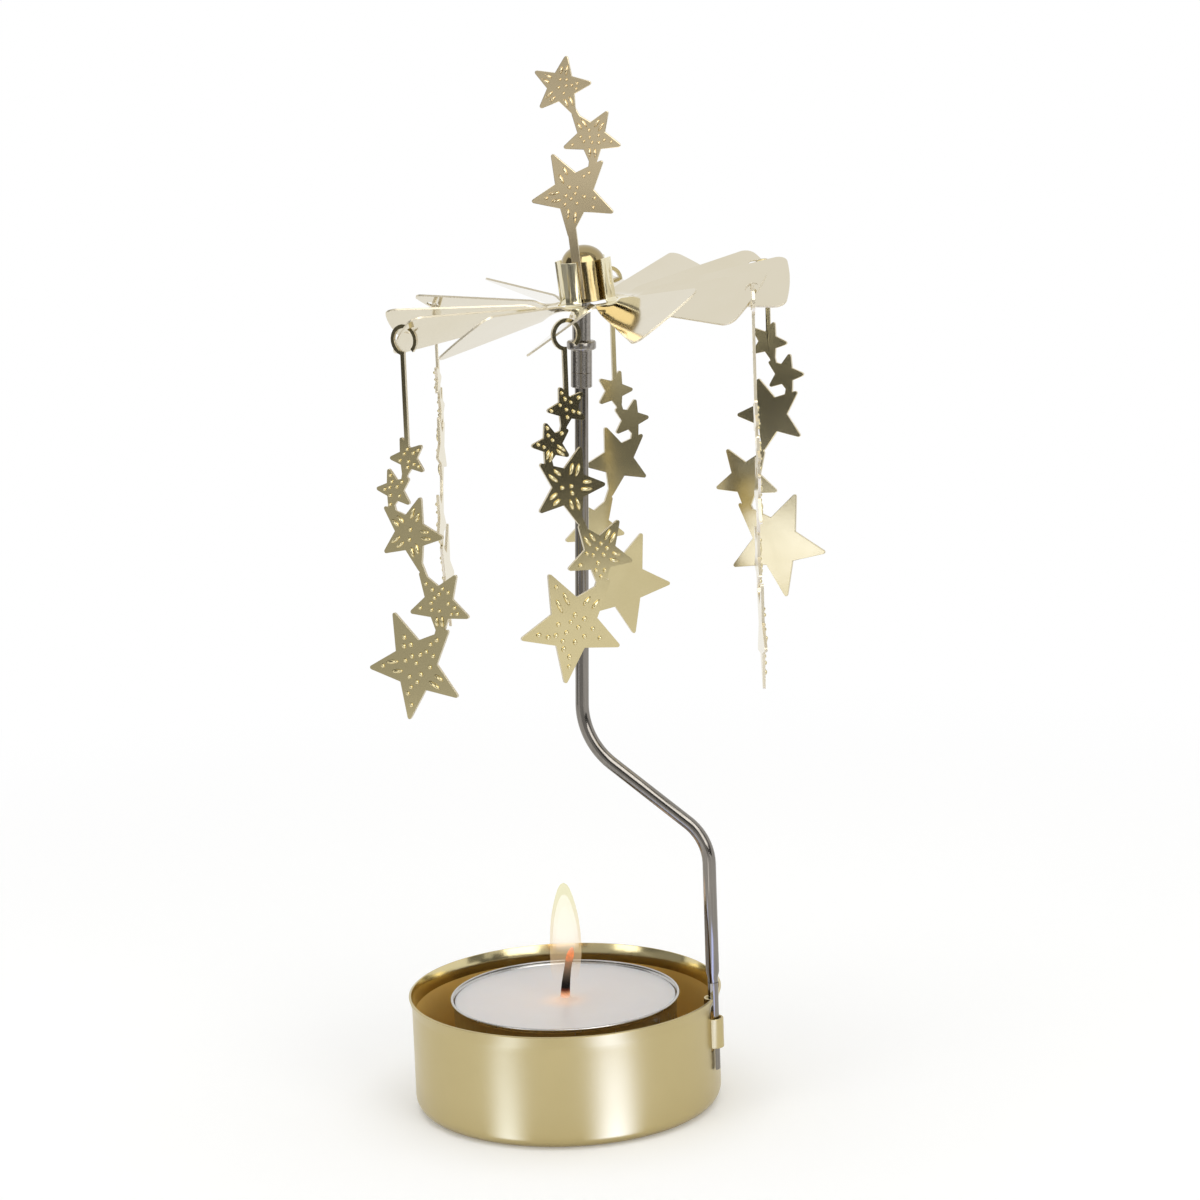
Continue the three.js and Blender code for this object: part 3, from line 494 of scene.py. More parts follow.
def finish_named(name, settings):
    """The material of that name, made the first time it is asked for."""
    found = bpy.data.materials.get(name)
    if found:
        return found
    tones, tealight = settings.finishes, settings.tealight
    if name in PLATED_BRASS:
        tone, shade, *surface = PLATED_BRASS[name]
        return plated_brass(name, getattr(tones, tone), getattr(tones, shade), *surface)
    if name in LINED_METAL:
        tone, shade, *surface = LINED_METAL[name]
        return lined_metal(name, getattr(tones, tone), getattr(tones, shade), *surface)
    if name in FLAMES:
        body, tip, *density = FLAMES[name]
        return candle_flame(name, tones, tealight, getattr(tones, body), getattr(tones, tip), *density)
    return {"paraffin_wax": paraffin, "charred_cotton": charred_cotton}[name](tones, tealight)


# Mesh helpers

def arc(centre_radius, centre_height, radius, start, end, steps):
    """Radius and height pairs along a round stretch, with angles in degrees."""
    turns = [math.radians(start + (end - start) * i / steps) for i in range(steps + 1)]
    return [(centre_radius + radius * math.cos(t), centre_height + radius * math.sin(t)) for t in turns]


def chain(bm, profile):
    """A run of edges through radius and height pairs, in the plane of X and Z."""
    verts = [bm.verts.new((radius, 0, height)) for radius, height in profile]
    return verts + [bm.edges.new(pair) for pair in zip(verts, verts[1:])]


def turned(profile, steps):
    """A bmesh that is a profile of radius and height pairs, spun round Z."""
    bm = bmesh.new()
    bmesh.ops.spin(bm, geom=chain(bm, profile), cent=ORIGIN, axis=Z_AXIS, angle=FULL_TURN, steps=steps,
                   use_merge=True)
    bmesh.ops.remove_doubles(bm, verts=bm.verts, dist=WELD)
    bmesh.ops.recalc_face_normals(bm, faces=bm.faces)
    return bm


def mark_sharp(bm, degrees):
    """Lets the shading break at edges from that angle on."""
    for edge in bm.edges:
        edge.smooth = not edge.is_manifold or edge.calc_face_angle() < math.radians(degrees)


def only(parts, kind):
    """The parts of a bmesh that are of one kind."""
    return [part for part in parts if isinstance(part, kind)]


def grow_ring(bm, edges, step, scale=1):
    """Extrudes a ring of edges by a step, scales the new ring about its middle and gives its edges."""
    made = bmesh.ops.extrude_edge_only(bm, edges=edges)["geom"]
    verts = only(made, BMVert)
    bmesh.ops.translate(bm, verts=verts, vec=step)
    if scale != 1:
        middle = sum((vert.co for vert in verts), Vector()) / len(verts)
        bmesh.ops.scale(bm, verts=verts, vec=(scale, scale, scale), space=Matrix.Translation(-middle))
    return [edge for edge in only(made, BMEdge) if all(vert in verts for vert in edge.verts)]


def new_object(name, bm, finish):
    """Makes the bmesh an object at the origin, with its finish."""
    mesh = bpy.data.meshes.new(name)
    bm.to_mesh(mesh)
    bm.free()
    mesh.materials.append(finish)
    made = bpy.data.objects.new(name, mesh)
    bpy.context.scene.collection.objects.link(made)
    return made


def add_piece(name, bm, finish, body, replaced=(), sharp=35):
    """Makes the bmesh a piece that rides on a body, stands for CAD nodes and is sharp from an angle on."""
    if sharp:
        mark_sharp(bm, sharp)
    piece = new_object(name, bm, finish)
    piece.data.shade_smooth()
    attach(piece, body)
    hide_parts(*replaced)
    return piece


def give_thickness(piece, thickness, offset, edge, inside=None, rim=None):
    """Makes a sheet solid and rounds its edges. Its inside or its rim can have a finish of its own."""
    sheet = piece.modifiers.new("Sheet", "SOLIDIFY")
    if inside or rim:
        piece.data.materials.append(inside or rim)
        sheet.material_offset = 1 if inside else 0
        sheet.material_offset_rim = 1 if rim else 0
    sheet.thickness = thickness
    sheet.offset = offset
    sheet.use_even_offset = True
    edges = piece.modifiers.new("Edges", "BEVEL")
    edges.width = edge
    edges.segments = 2
    edges.angle_limit = EDGE_ANGLE
    edges.harden_normals = True


def keep_node(node, finish):
    """Gives a CAD node that stays in view its finish."""
    materials = frame["nodes"][node].data.materials
    materials.clear()
    materials.append(finish)


def joint_named(name):
    """A joint's place and axis, from the frame."""
    found = next(joint for joint in frame["joints"] if joint["name"] == name)
    return Vector(found["pos_m"]), Vector(found["axis"])


def stand_top(sizes):
    """The leaning frame at the sleeve's lower edge."""
    lean = Vector((math.sin(sizes.lean), 0, math.cos(sizes.lean)))
    corner = Vector((sizes.foot_x - sizes.reach, 0, sizes.upper_bend))
    place = corner + lean * (sizes.top_length - sizes.grip)
    return Matrix.Translation(place) @ Matrix.Rotation(sizes.lean, 4, "Y")


def wheel_place(sizes):
    """The tilted frame of the wheel, with its origin at the needle's point."""
    pivot, _ = joint_named("rotor_spin")
    hinge = Vector((math.sin(sizes.high_side), -math.cos(sizes.high_side), 0))
    return Matrix.Translation(pivot) @ Matrix.Rotation(sizes.tilt, 4, hinge)


def smooth_share(value, start, end):
    """A share from 0 to 1 that leaves and arrives softly."""
    share = min(max((value - start) / (end - start), 0), 1)
    return share * share * (3 - 2 * share)


# Pieces

class HOLDER_OT_candle_cup(bpy.types.Operator):
    """Press the cup from sheet, with a flared rim and the two half loops of the clip"""

    bl_idname = "candle_holder.candle_cup"
    bl_label = "Candle Cup"

    WALL_STEPS = 168
    CLIP_STEPS = 14
    CORNER_STEPS = 10
    STRAP_ROWS = 4
    LOWEST_ROW = 6 * MM
    RIM_ROWS = (0, 0.08, 0.2, 0.35, 0.5, 0.65, 0.8, 1)
    RIM_CURVE = 1.35
    RIM_FINISH = 2
    EDGE = 0.09 * MM
    LOOP_SHARE = 0.99

    def execute(self, context):
        settings = context.scene.candle_holder
        sizes, foot_x = settings.cup, settings.stand.foot_x
        window = math.asin((sizes.bore / 2 + sizes.sheet) / sizes.radius)
        loop_bottom = sizes.strap_top + sizes.slit
        bm = bmesh.new()
        profile = chain(bm, self.profile(sizes, loop_bottom))
        bmesh.ops.rotate(bm, verts=bm.verts, cent=ORIGIN, matrix=Matrix.Rotation(-window, 3, "Z"))
        near = bmesh.ops.spin(bm, geom=profile, cent=ORIGIN, axis=Z_AXIS, angle=2 * window,
                              steps=self.CLIP_STEPS)
        bmesh.ops.spin(bm, geom=near["geom_last"], cent=ORIGIN, axis=Z_AXIS, angle=FULL_TURN - 2 * window,
                       steps=self.WALL_STEPS)
        bmesh.ops.remove_doubles(bm, verts=bm.verts, dist=WELD)
        bmesh.ops.recalc_face_normals(bm, faces=bm.faces)
        self.open_slits(bm, sizes, window, loop_bottom)
        self.press_loops(bm, sizes, window, loop_bottom, foot_x)
        for face in bm.faces:
            if face.calc_center_median().z > loop_bottom:
                face.material_index = self.RIM_FINISH
        satin = finish_named("satin_brass_plate", settings)
        piece = add_piece("candle_cup_pressing", bm, satin, "base", ["candle_cup"])
        # The inside of the sheet takes the brighter gold, painted for the light bouncing round in the cup
        give_thickness(piece, sizes.sheet, -1, self.EDGE, inside=finish_named("rough_inside_brass_and_glow", settings))
        piece.data.materials.append(satin)
        piece.data.materials.append(finish_named("burnished_rim_brass", settings))
        return {"FINISHED"}

    def profile(self, sizes, loop_bottom):
        """Radius and height pairs from the middle of the bottom to the rim."""
        strap = sizes.strap_top - sizes.strap_bottom
        rows = [sizes.strap_bottom + strap * i / self.STRAP_ROWS for i in range(self.STRAP_ROWS + 1)]
        wall = [self.LOWEST_ROW, sizes.strap_bottom - sizes.slit, *rows, loop_bottom]
        return [
            (0, 0), (sizes.radius / 2, 0),
            *arc(sizes.radius - sizes.corner, sizes.corner, sizes.corner, -90, 0, self.CORNER_STEPS),
            *[(sizes.radius, height) for height in wall],
            *[(sizes.radius + sizes.rim_flare * share ** self.RIM_CURVE,
               sizes.height - sizes.rim_band * (1 - share)) for share in self.RIM_ROWS],
        ]

    def open_slits(self, bm, sizes, window, loop_bottom):
        """Cuts the slits above, between and below the loops."""
        slits = [(sizes.strap_bottom - sizes.slit, sizes.strap_bottom), (sizes.strap_top, loop_bottom)]
        cut = []
        for face in bm.faces:
            centre = face.calc_center_median()
            inside = centre.x > 0 and abs(math.atan2(centre.y, centre.x)) < window
            if inside and any(low < centre.z < high for low, high in slits):
                cut.append(face)
        bmesh.ops.delete(bm, geom=cut, context="FACES")

    def press_loops(self, bm, sizes, window, loop_bottom, foot_x):
        """Presses the strap outwards and the loop at the rim inwards."""
        for vert in bm.verts:
            share = math.atan2(vert.co.y, vert.co.x) / window
            if vert.co.x < 0 or abs(share) > self.LOOP_SHARE:
                continue
            swing = share * QUARTER_TURN
            if sizes.strap_bottom - WELD <= vert.co.z <= sizes.strap_top + WELD:
                radius = sizes.bore / 2 + sizes.sheet
                vert.co.x = foot_x + radius * math.cos(swing)
                vert.co.y = radius * math.sin(swing)
            elif vert.co.z >= loop_bottom - WELD:
                vert.co.x = foot_x - sizes.bore / 2 * math.cos(swing)
                vert.co.y = sizes.bore / 2 * math.sin(swing)


class HOLDER_OT_stand_rod(bpy.types.Operator):
    """Bend the rod from wire and split its foot into a long tongue and a short leg"""

    bl_idname = "candle_holder.stand_rod"
    bl_label = "Stand Rod"

    SIDES = 32
    BEND_STEPS = 20
    OVERLAP = 0.2 * MM
    TIP_ROUND = 0.25 * MM

    def execute(self, context):
        settings = context.scene.candle_holder
        sizes = settings.stand
        bm = bmesh.new()
        start = Matrix.Translation((sizes.foot_x, 0, sizes.crotch))
        bmesh.ops.create_circle(bm, cap_ends=False, segments=self.SIDES, radius=sizes.foot / 2, matrix=start)
        edges = bm.edges[:]
        bmesh.ops.edgeloop_fill(bm, edges=edges)
        edges = grow_ring(bm, edges, Vector((0, 0, sizes.shoulder - sizes.taper - sizes.crotch)))
        edges = grow_ring(bm, edges, Vector((0, 0, sizes.taper)), sizes.rod / sizes.foot)
        self.bend_and_rise(bm, edges, sizes)
        bmesh.ops.recalc_face_normals(bm, faces=bm.faces)
        self.add_leg(bm, sizes, 1, sizes.tongue_tip)
        self.add_leg(bm, sizes, -1, sizes.leg_tip)
        add_piece("stand_rod_wire", bm, finish_named("drawn_nickel_wire", settings), "stand",
                  ["stand_rod"], sharp=40)
        return {"FINISHED"}

    def bend(self, bm, edges, place, ahead, turn, radius):
        """Spins the ring of edges through a bend in the plane of X and Z, and gives the new ring."""
        side = Vector((ahead.z, 0, -ahead.x)) * (1 if turn > 0 else -1)
        verts = list({vert for edge in edges for vert in edge.verts})
        spun = bmesh.ops.spin(bm, geom=verts + edges, cent=place + side * radius, axis=(0, 1, 0), angle=turn,
                              steps=self.BEND_STEPS)
        return only(spun["geom_last"], BMEdge)

    def bend_and_rise(self, bm, edges, sizes):
        """Takes the ring from the shoulder through both bends to the rod's top."""
        corner = Vector((sizes.foot_x, 0, sizes.lower_bend))
        upper = Vector((sizes.foot_x - sizes.reach, 0, sizes.upper_bend))
        lean = Vector((math.sin(sizes.lean), 0, math.cos(sizes.lean)))
        slope = (upper - corner).normalized()
        lower_turn = -Z_AXIS.angle(slope)
        upper_turn = slope.angle(lean)
        lower_run = sizes.lower_radius * math.tan(abs(lower_turn) / 2)
        upper_run = sizes.upper_radius * math.tan(upper_turn / 2)
        edges = grow_ring(bm, edges, Vector((0, 0, sizes.lower_bend - lower_run - sizes.shoulder)))
        edges = self.bend(bm, edges, corner - Z_AXIS * lower_run, Z_AXIS, lower_turn, sizes.lower_radius)
        edges = grow_ring(bm, edges, slope * ((upper - corner).length - lower_run - upper_run))
        edges = self.bend(bm, edges, upper - slope * upper_run, slope, upper_turn, sizes.upper_radius)
        edges = grow_ring(bm, edges, lean * (sizes.top_length - upper_run))
        bmesh.ops.edgeloop_fill(bm, edges=edges)

    def add_leg(self, bm, sizes, side, tip):
        """Adds one half of the split foot, a D-shaped bar with a rounded end."""
        leg = bmesh.new()
        place = Matrix.Translation((sizes.foot_x, 0, sizes.crotch + self.OVERLAP))
        bmesh.ops.create_circle(leg, cap_ends=True, segments=self.SIDES, radius=sizes.foot / 2, matrix=place)
        cut = bmesh.ops.bisect_plane(
            leg, geom=leg.verts[:] + leg.edges[:] + leg.faces[:],
            plane_co=(sizes.foot_x + side * sizes.slot / 2, 0, 0), plane_no=(-side, 0, 0), clear_outer=True)
        if not cut["geom_cut"]:
            raise RuntimeError("the rod's foot was not split")
        grown = bmesh.ops.extrude_face_region(leg, geom=leg.faces[:])["geom"]
        bmesh.ops.translate(leg, verts=only(grown, BMVert), vec=(0, 0, tip - sizes.crotch - self.OVERLAP))
        ends = [edge for edge in leg.edges if all(abs(vert.co.z - tip) < WELD for vert in edge.verts)]
        bmesh.ops.bevel(leg, geom=ends, offset=self.TIP_ROUND, offset_type="OFFSET", segments=3, profile=0.5,
                        affect="EDGES", material=-1)
        bmesh.ops.recalc_face_normals(leg, faces=leg.faces)
        joined = bpy.data.meshes.new("leg")
        leg.to_mesh(joined)
        leg.free()
        bm.from_mesh(joined)
        bpy.data.meshes.remove(joined)


class HOLDER_OT_pivot_sleeve(bpy.types.Operator):
    """Turn the flanged sleeve, scribe its line and give the needle its finish"""

    bl_idname = "candle_holder.pivot_sleeve"
    bl_label = "Pivot Sleeve"

    STEPS = 64
    ROUND_STEPS = 5
    CHAMFER = 0.15 * MM
    FLANGE_ROUND = 0.35 * MM
    BORE_ROOM = 0.3 * MM

    def execute(self, context):
        settings = context.scene.candle_holder
        sizes = settings.stand
        lower, flange, upper = sizes.sleeve_lower / 2, sizes.sleeve_flange / 2, sizes.sleeve_upper / 2
        flange_bottom = sizes.sleeve_lower_length
        flange_top = flange_bottom + sizes.sleeve_flange_height
        top = flange_top + sizes.sleeve_upper_length
        bore, seat = sizes.sleeve_bore / 2, sizes.needle_bore / 2
        bore_end, seat_end = sizes.grip + self.BORE_ROOM, top - sizes.needle_seat
        scribe, depth = sizes.scribe_height, sizes.scribe_depth
        chamfer, edge, steps = self.CHAMFER, self.FLANGE_ROUND, self.ROUND_STEPS
        bm = turned([
            (0, bore_end), (bore, bore_end), (bore, 0), (lower - chamfer, 0), (lower, chamfer),
            (lower, scribe - depth), (lower - depth, scribe), (lower, scribe + depth),
            (lower, flange_bottom - chamfer), (lower + chamfer, flange_bottom),
            (flange - 2 * chamfer, flange_bottom),
            *arc(flange - edge, flange_bottom + edge, edge, -90, 0, steps)[1:],
            *arc(flange - edge, flange_top - edge, edge, 0, 90, steps),
            (upper + chamfer, flange_top), (upper, flange_top + chamfer), (upper, top - chamfer),
            (upper - chamfer, top), (seat, top), (seat, seat_end), (0, seat_end),
        ], self.STEPS)
        bmesh.ops.transform(bm, matrix=stand_top(sizes), verts=bm.verts)
        steel = finish_named("turned_nickel_steel", settings)
        add_piece("pivot_sleeve_turned", bm, steel, "stand", ["pivot_sleeve"])
        keep_node("needle_pin", steel)
        return {"FINISHED"}


class HOLDER_OT_rotor_wheel(bpy.types.Operator):
    """Press the twelve twisted blades, the hub ring and the collar of fingers"""

    bl_idname = "candle_holder.rotor_wheel"
    bl_label = "Rotor Wheel"

    HOLE_SPREAD = (-0.8, -0.4, 0, 0.4, 0.8)
    TWIST_ROWS = 8
    CORNER_ROWS = 6
    PLAIN_ROWS = (0.3, 0.6, 0.85)
    SIDE_COLUMNS = (-1, -0.72, -0.4, -0.08)
    RAISED_COLUMNS = (0.66, 0.83, 1)
    FINGER_ROWS = 14
    FINGER_COLUMNS = 10
    RING_STEPS = 96
    ROOT_LAP = 0.9 * MM
    BLADE_EDGE = 0.06 * MM
    RING_EDGE = 0.12 * MM
    FINGER_EDGE = 0.08 * MM

    def execute(self, context):
        settings = context.scene.candle_holder
        sizes = settings.wheel
        place = wheel_place(sizes)
        blades = bmesh.new()
        for index in range(BLADE_COUNT):
            direction = sizes.phase + FULL_TURN * index / BLADE_COUNT
            self.add_blade(blades, sizes, direction, pierced=index % 2 == 0)
        bmesh.ops.transform(blades, matrix=place, verts=blades.verts)
        piece = add_piece("rotor_blades", blades, finish_named("champagne_brass_plate", settings), "rotor",
                          ["rotor_wheel"])
        give_thickness(piece, sizes.sheet, 0, self.BLADE_EDGE,
                       rim=finish_named("sheared_brass_edge", settings))
        top, bottom = sizes.ring_sheet / 2 - sizes.drop, -sizes.ring_sheet / 2 - sizes.drop
        inner, outer, edge = sizes.ring_inner, sizes.ring_outer, self.RING_EDGE
        ring = turned([
            (inner, top), (inner, bottom), (outer - edge, bottom), (outer, bottom + edge),
            (outer, top - edge), (outer - edge, top), (inner, top),
        ], self.RING_STEPS)
        bmesh.ops.transform(ring, matrix=place, verts=ring.verts)
        gold = finish_named("polished_brass", settings)
        add_piece("rotor_hub_ring", ring, gold, "rotor")
        fingers = bmesh.new()
        for index in range(FINGER_COUNT):
            self.add_finger(fingers, sizes, sizes.first_finger + FULL_TURN * index / FINGER_COUNT)
        bmesh.ops.transform(fingers, matrix=place, verts=fingers.verts)
        piece = add_piece("rotor_collar_fingers", fingers, gold, "rotor")
        give_thickness(piece, sizes.sheet, 0, self.FINGER_EDGE)
        return {"FINISHED"}

    def half_width(self, radius, sizes):
        """Half of a blade's width at a radius, with the rounding of its corners."""
        into = max(sizes.corner - (sizes.radius - radius), 0)
        rounded = math.sqrt(max(sizes.corner ** 2 - into ** 2, 0))
        return radius * math.tan(sizes.half_angle) - sizes.corner + rounded

    def add_blade(self, bm, sizes, direction, pierced):
        """Adds one blade as a sheet, with a hole near its tip if it carries a pendant."""
        hole_radius = sizes.hole / 2
        hole_place = sizes.radius - sizes.hole_edge - hole_radius
        twist_end = sizes.ring_outer + sizes.twist
        rows = [sizes.ring_outer - self.ROOT_LAP]
        rows += [sizes.ring_outer + sizes.twist * i / self.TWIST_ROWS for i in range(self.TWIST_ROWS + 1)]
        rows += [twist_end + (hole_place - twist_end) * share for share in self.PLAIN_ROWS]
        first_row = len(rows)
        rows += [hole_place + hole_radius * spread for spread in self.HOLE_SPREAD]
        outside = sizes.radius - rows[-1]
        rows += [rows[-1] + outside * math.sin(QUARTER_TURN * (i + 1) / self.CORNER_ROWS)
                 for i in range(self.CORNER_ROWS)]
        hole_width = self.half_width(hole_place, sizes)
        first_column = len(self.SIDE_COLUMNS)
        across_hole = [(sizes.hole_shift + hole_radius * spread) / hole_width for spread in self.HOLE_SPREAD]
        columns = [*self.SIDE_COLUMNS, *across_hole, *self.RAISED_COLUMNS]
        grid = bmesh.ops.create_grid(
            bm, x_segments=len(rows) - 1, y_segments=len(columns) - 1, size=1)["verts"]
        centre = Vector((hole_place, sizes.hole_shift))
        last = len(self.HOLE_SPREAD) - 1
        flat, inside = {}, []
        for index, vert in enumerate(grid):
            row, column = index % len(rows), index // len(rows)
            flat[vert] = Vector((rows[row], columns[column] * self.half_width(rows[row], sizes)))
            steps = (row - first_row, column - first_column)
            if pierced and all(0 < step < last for step in steps):
                inside.append(vert)
            elif pierced and all(0 <= step <= last for step in steps):
                flat[vert] = centre + (flat[vert] - centre).normalized() * hole_radius
        bmesh.ops.delete(bm, geom=inside, context="VERTS")
        grid = [vert for vert in grid if vert.is_valid]
        turn_round = Matrix.Rotation(direction, 3, "Z")
        for vert in grid:
            radius, sideways = flat[vert]
            turn = sizes.pitch * smooth_share(radius, sizes.ring_outer, twist_end)
            reach = math.sqrt(max(radius ** 2 - sideways ** 2, 0))
            vert.co = turn_round @ Vector((
                reach, sideways * math.cos(turn), sideways * math.sin(turn) - sizes.drop))

    def add_finger(self, bm, sizes, direction):
        """Adds one finger of the collar as a sheet: a foot that curves up, and an upright."""
        grid = bmesh.ops.create_grid(
            bm, x_segments=self.FINGER_ROWS, y_segments=self.FINGER_COLUMNS, size=1)["verts"]
        for vert in grid:
            along, across = (vert.co.x + 1) / 2, vert.co.y
            bend = min(along * 2, 1) * QUARTER_TURN
            upright = max(along * 2 - 1, 0)
            radius = sizes.collar + sizes.finger_foot * (1 - math.sin(bend))
            radius += sizes.finger_flare * upright ** 2
            height = sizes.finger_foot * (1 - math.cos(bend))
            height += (sizes.finger_height - sizes.finger_foot) * upright
            turn = direction - across * sizes.finger_half
            vert.co = Vector((radius * math.cos(turn), radius * math.sin(turn), height - sizes.drop))


class HOLDER_OT_hub_cap(bpy.types.Operator):
    """Draw the domed cap that sits on the needle's point"""

    bl_idname = "candle_holder.hub_cap"
    bl_label = "Hub Cap"

    STEPS = 72
    DOME_STEPS = 12
    LIP = 0.08 * MM
    LIP_HEIGHT = 0.5 * MM
    WALL_ROWS = (3 * MM, 0.3 * MM)
    EDGE = 0.08 * MM

    def execute(self, context):
        settings = context.scene.candle_holder
        sizes = settings.wheel
        radius = sizes.cap / 2
        shoulder = sizes.cap_top - sizes.cap_dome
        turns = [QUARTER_TURN * i / self.DOME_STEPS for i in range(self.DOME_STEPS)]
        bm = turned([
            (radius + self.LIP, -sizes.cap_skirt), (radius, self.LIP_HEIGHT - sizes.cap_skirt),
            *[(radius, shoulder - below) for below in self.WALL_ROWS],
            *[(radius * math.cos(turn), shoulder + sizes.cap_dome * math.sin(turn)) for turn in turns],
            (0, sizes.cap_top),
        ], self.STEPS)
        bmesh.ops.transform(bm, matrix=wheel_place(sizes), verts=bm.verts)
        piece = add_piece("hub_cap_drawn", bm, finish_named("drawn_gold_cap", settings), "rotor",
                          ["hub_cap"])
        give_thickness(piece, sizes.sheet, -1, self.EDGE)
        return {"FINISHED"}


class StarPlates:
    """Shared steps for stamped star plates: a plate from the frame's outline, and its embossed work."""

    FLAT_ANGLE = math.radians(1)
    RIM_ANGLE = math.radians(80)
    RIM_CORNERS = 8
    SHARP_ANGLE = 15
    SIDE_SHARE = 0.5
    # The star's inner radius, and the places and sizes of its dashes and dots, as shares of the star or dot
    WAIST = 0.44
    DASH_REACH = (0.38, 0.5)
    DASH_LANE = 0.08
    DASH_LENGTH = (2.4, 3.4)
    DASH_WIDTH = 0.95
    DOT_LENGTH = (0.85, 1.3)
    DOT_LEAST = 0.6
    DOT_ROOM = 1.6
    SCATTER_TRIES = 160
    BARE_EDGE = 0.74

    def plate(self, node, sizes, out):
        """A clean plate from a CAD node's outline that faces one way, with soft edges and sheared sides."""
        bm = bmesh.new()
        bm.from_mesh(frame["nodes"][node].data)
        bmesh.ops.remove_doubles(bm, verts=bm.verts, dist=WELD)
        bmesh.ops.dissolve_limit(bm, angle_limit=self.FLAT_ANGLE, verts=bm.verts, edges=bm.edges)
        rims = [edge for edge in bm.edges if edge.is_manifold and edge.calc_face_angle() > self.RIM_ANGLE
                and max(len(face.verts) for face in edge.link_faces) > self.RIM_CORNERS]
        bmesh.ops.bevel(bm, geom=rims, offset=sizes.edge, offset_type="OFFSET", segments=2, profile=0.5,
                        affect="EDGES", material=-1, clamp_overlap=True)
        mark_sharp(bm, self.SHARP_ANGLE)
        for face in bm.faces:
            face.material_index = int(abs(face.normal.dot(out)) < self.SIDE_SHARE)
        return bm

    def emboss(self, bm, stars, drop, place, sizes, draw, boss):
        """Raises dashes along the arms and scattered dots on the front of each star."""
        largest = max(star[2] for star in stars)
        for across, down, radius, turn, dashed in stars:
            centre = Vector((across, -down)) * MM - Vector((0, drop))
            size, turn = radius * MM, math.radians(turn)
            dot = boss * (self.DOT_LEAST + (1 - self.DOT_LEAST) * radius / largest)
            taken = []
            for arm in range(STAR_POINTS):
                if draw.random() > dashed:
                    continue
                swing = turn + FULL_TURN * arm / STAR_POINTS
                ahead = Vector((math.sin(swing), math.cos(swing)))
                aside = Vector((ahead.y, -ahead.x)) * size * self.DASH_LANE
                for lane in (-1, 1):
                    spot = centre + ahead * size * draw.uniform(*self.DASH_REACH) + aside * lane
                    long = dot * draw.uniform(*self.DASH_LENGTH)
                    self.raise_boss(bm, place, spot, swing, long, dot * self.DASH_WIDTH, sizes)
                    taken += [spot - ahead * dot, spot, spot + ahead * dot]
            for _ in range(self.SCATTER_TRIES):
                swing, reach = draw.uniform(0, FULL_TURN), size * self.BARE_EDGE * math.sqrt(draw.random())
                spot = centre + Vector((math.sin(swing), math.cos(swing))) * reach
                if reach > self.outline(swing - turn, size) * self.BARE_EDGE:
                    continue
                if all((spot - other).length > dot * self.DOT_ROOM for other in taken):
                    self.raise_boss(bm, place, spot, swing, dot * draw.uniform(*self.DOT_LENGTH), dot, sizes)
                    taken.append(spot)

    def outline(self, swing, size):
        """Distance from a star's centre to its outline, in a direction from one of its tips."""
        half = math.pi / STAR_POINTS
        fold = abs((swing + half) % (2 * half) - half)
        depth = self.WAIST * math.sin(half)
        return size * depth / (depth * math.cos(fold) + (1 - self.WAIST * math.cos(half)) * math.sin(fold))

    def raise_boss(self, bm, place, spot, swing, along, across, sizes):
        """Raises one smooth dot or dash on the front face."""
        spin = Matrix.Rotation(-swing, 4, "Z")
        scale = Matrix.Diagonal((across / 2, along / 2, sizes.boss_height, 1))
        seat = Matrix.Translation((spot.x, spot.y, sizes.sheet / 2))
        bmesh.ops.create_uvsphere(
            bm, u_segments=8, v_segments=4, radius=1, matrix=place @ seat @ spin @ scale)


class HOLDER_OT_star_pendants(StarPlates, bpy.types.Operator):
    """Stamp the six star pendants that hang from the blades"""

    bl_idname = "candle_holder.star_pendants"
    bl_label = "Star Pendants"

    FIRST_DRAW = 11

    def execute(self, context):
        settings = context.scene.candle_holder
        sizes = settings.stars
        brass = finish_named("stamped_brass_sheet", settings)
        for index, name in enumerate(PENDANTS):
            centre, out = joint_named(f"{name}_swing")
            across = Z_AXIS.cross(out)
            turn = Matrix((across, Z_AXIS, out)).transposed().to_4x4()
            drop = sizes.long_drop if index % 2 == 0 else sizes.short_drop
            bm = self.plate(name, sizes, out)
            draw = random.Random(self.FIRST_DRAW + index)
            self.emboss(bm, PENDANT_STARS, drop, Matrix.Translation(centre) @ turn, sizes, draw, sizes.boss)
            piece = add_piece(f"star_{name}", bm, brass, name, [name], sharp=None)
            piece.data.materials.append(finish_named("sheared_brass_edge", settings))
        return {"FINISHED"}


class HOLDER_OT_top_ornament(StarPlates, bpy.types.Operator):
    """Stamp the chain of stars that stands on the hub"""

    bl_idname = "candle_holder.top_ornament"
    bl_label = "Top Ornament"

    DRAW = 13718

    def execute(self, context):
        settings = context.scene.candle_holder
        sizes = settings.stars
        out = Vector((math.cos(sizes.ornament_turn), math.sin(sizes.ornament_turn), 0))
        turn = Matrix((Z_AXIS.cross(out), Z_AXIS, out)).transposed().to_4x4()
        place = wheel_place(settings.wheel) @ Matrix.Translation(out * sizes.ornament_radius) @ turn
        bm = self.plate("top_ornament", sizes, place.to_3x3() @ Z_AXIS)
        self.emboss(bm, ORNAMENT_STARS, sizes.ornament_drop, place, sizes, random.Random(self.DRAW),
                    sizes.ornament_boss)
        piece = add_piece("star_ornament", bm, finish_named("pale_stamped_brass", settings), "rotor",
                          ["top_ornament"], sharp=None)
        piece.data.materials.append(finish_named("sheared_brass_edge", settings))
        return {"FINISHED"}


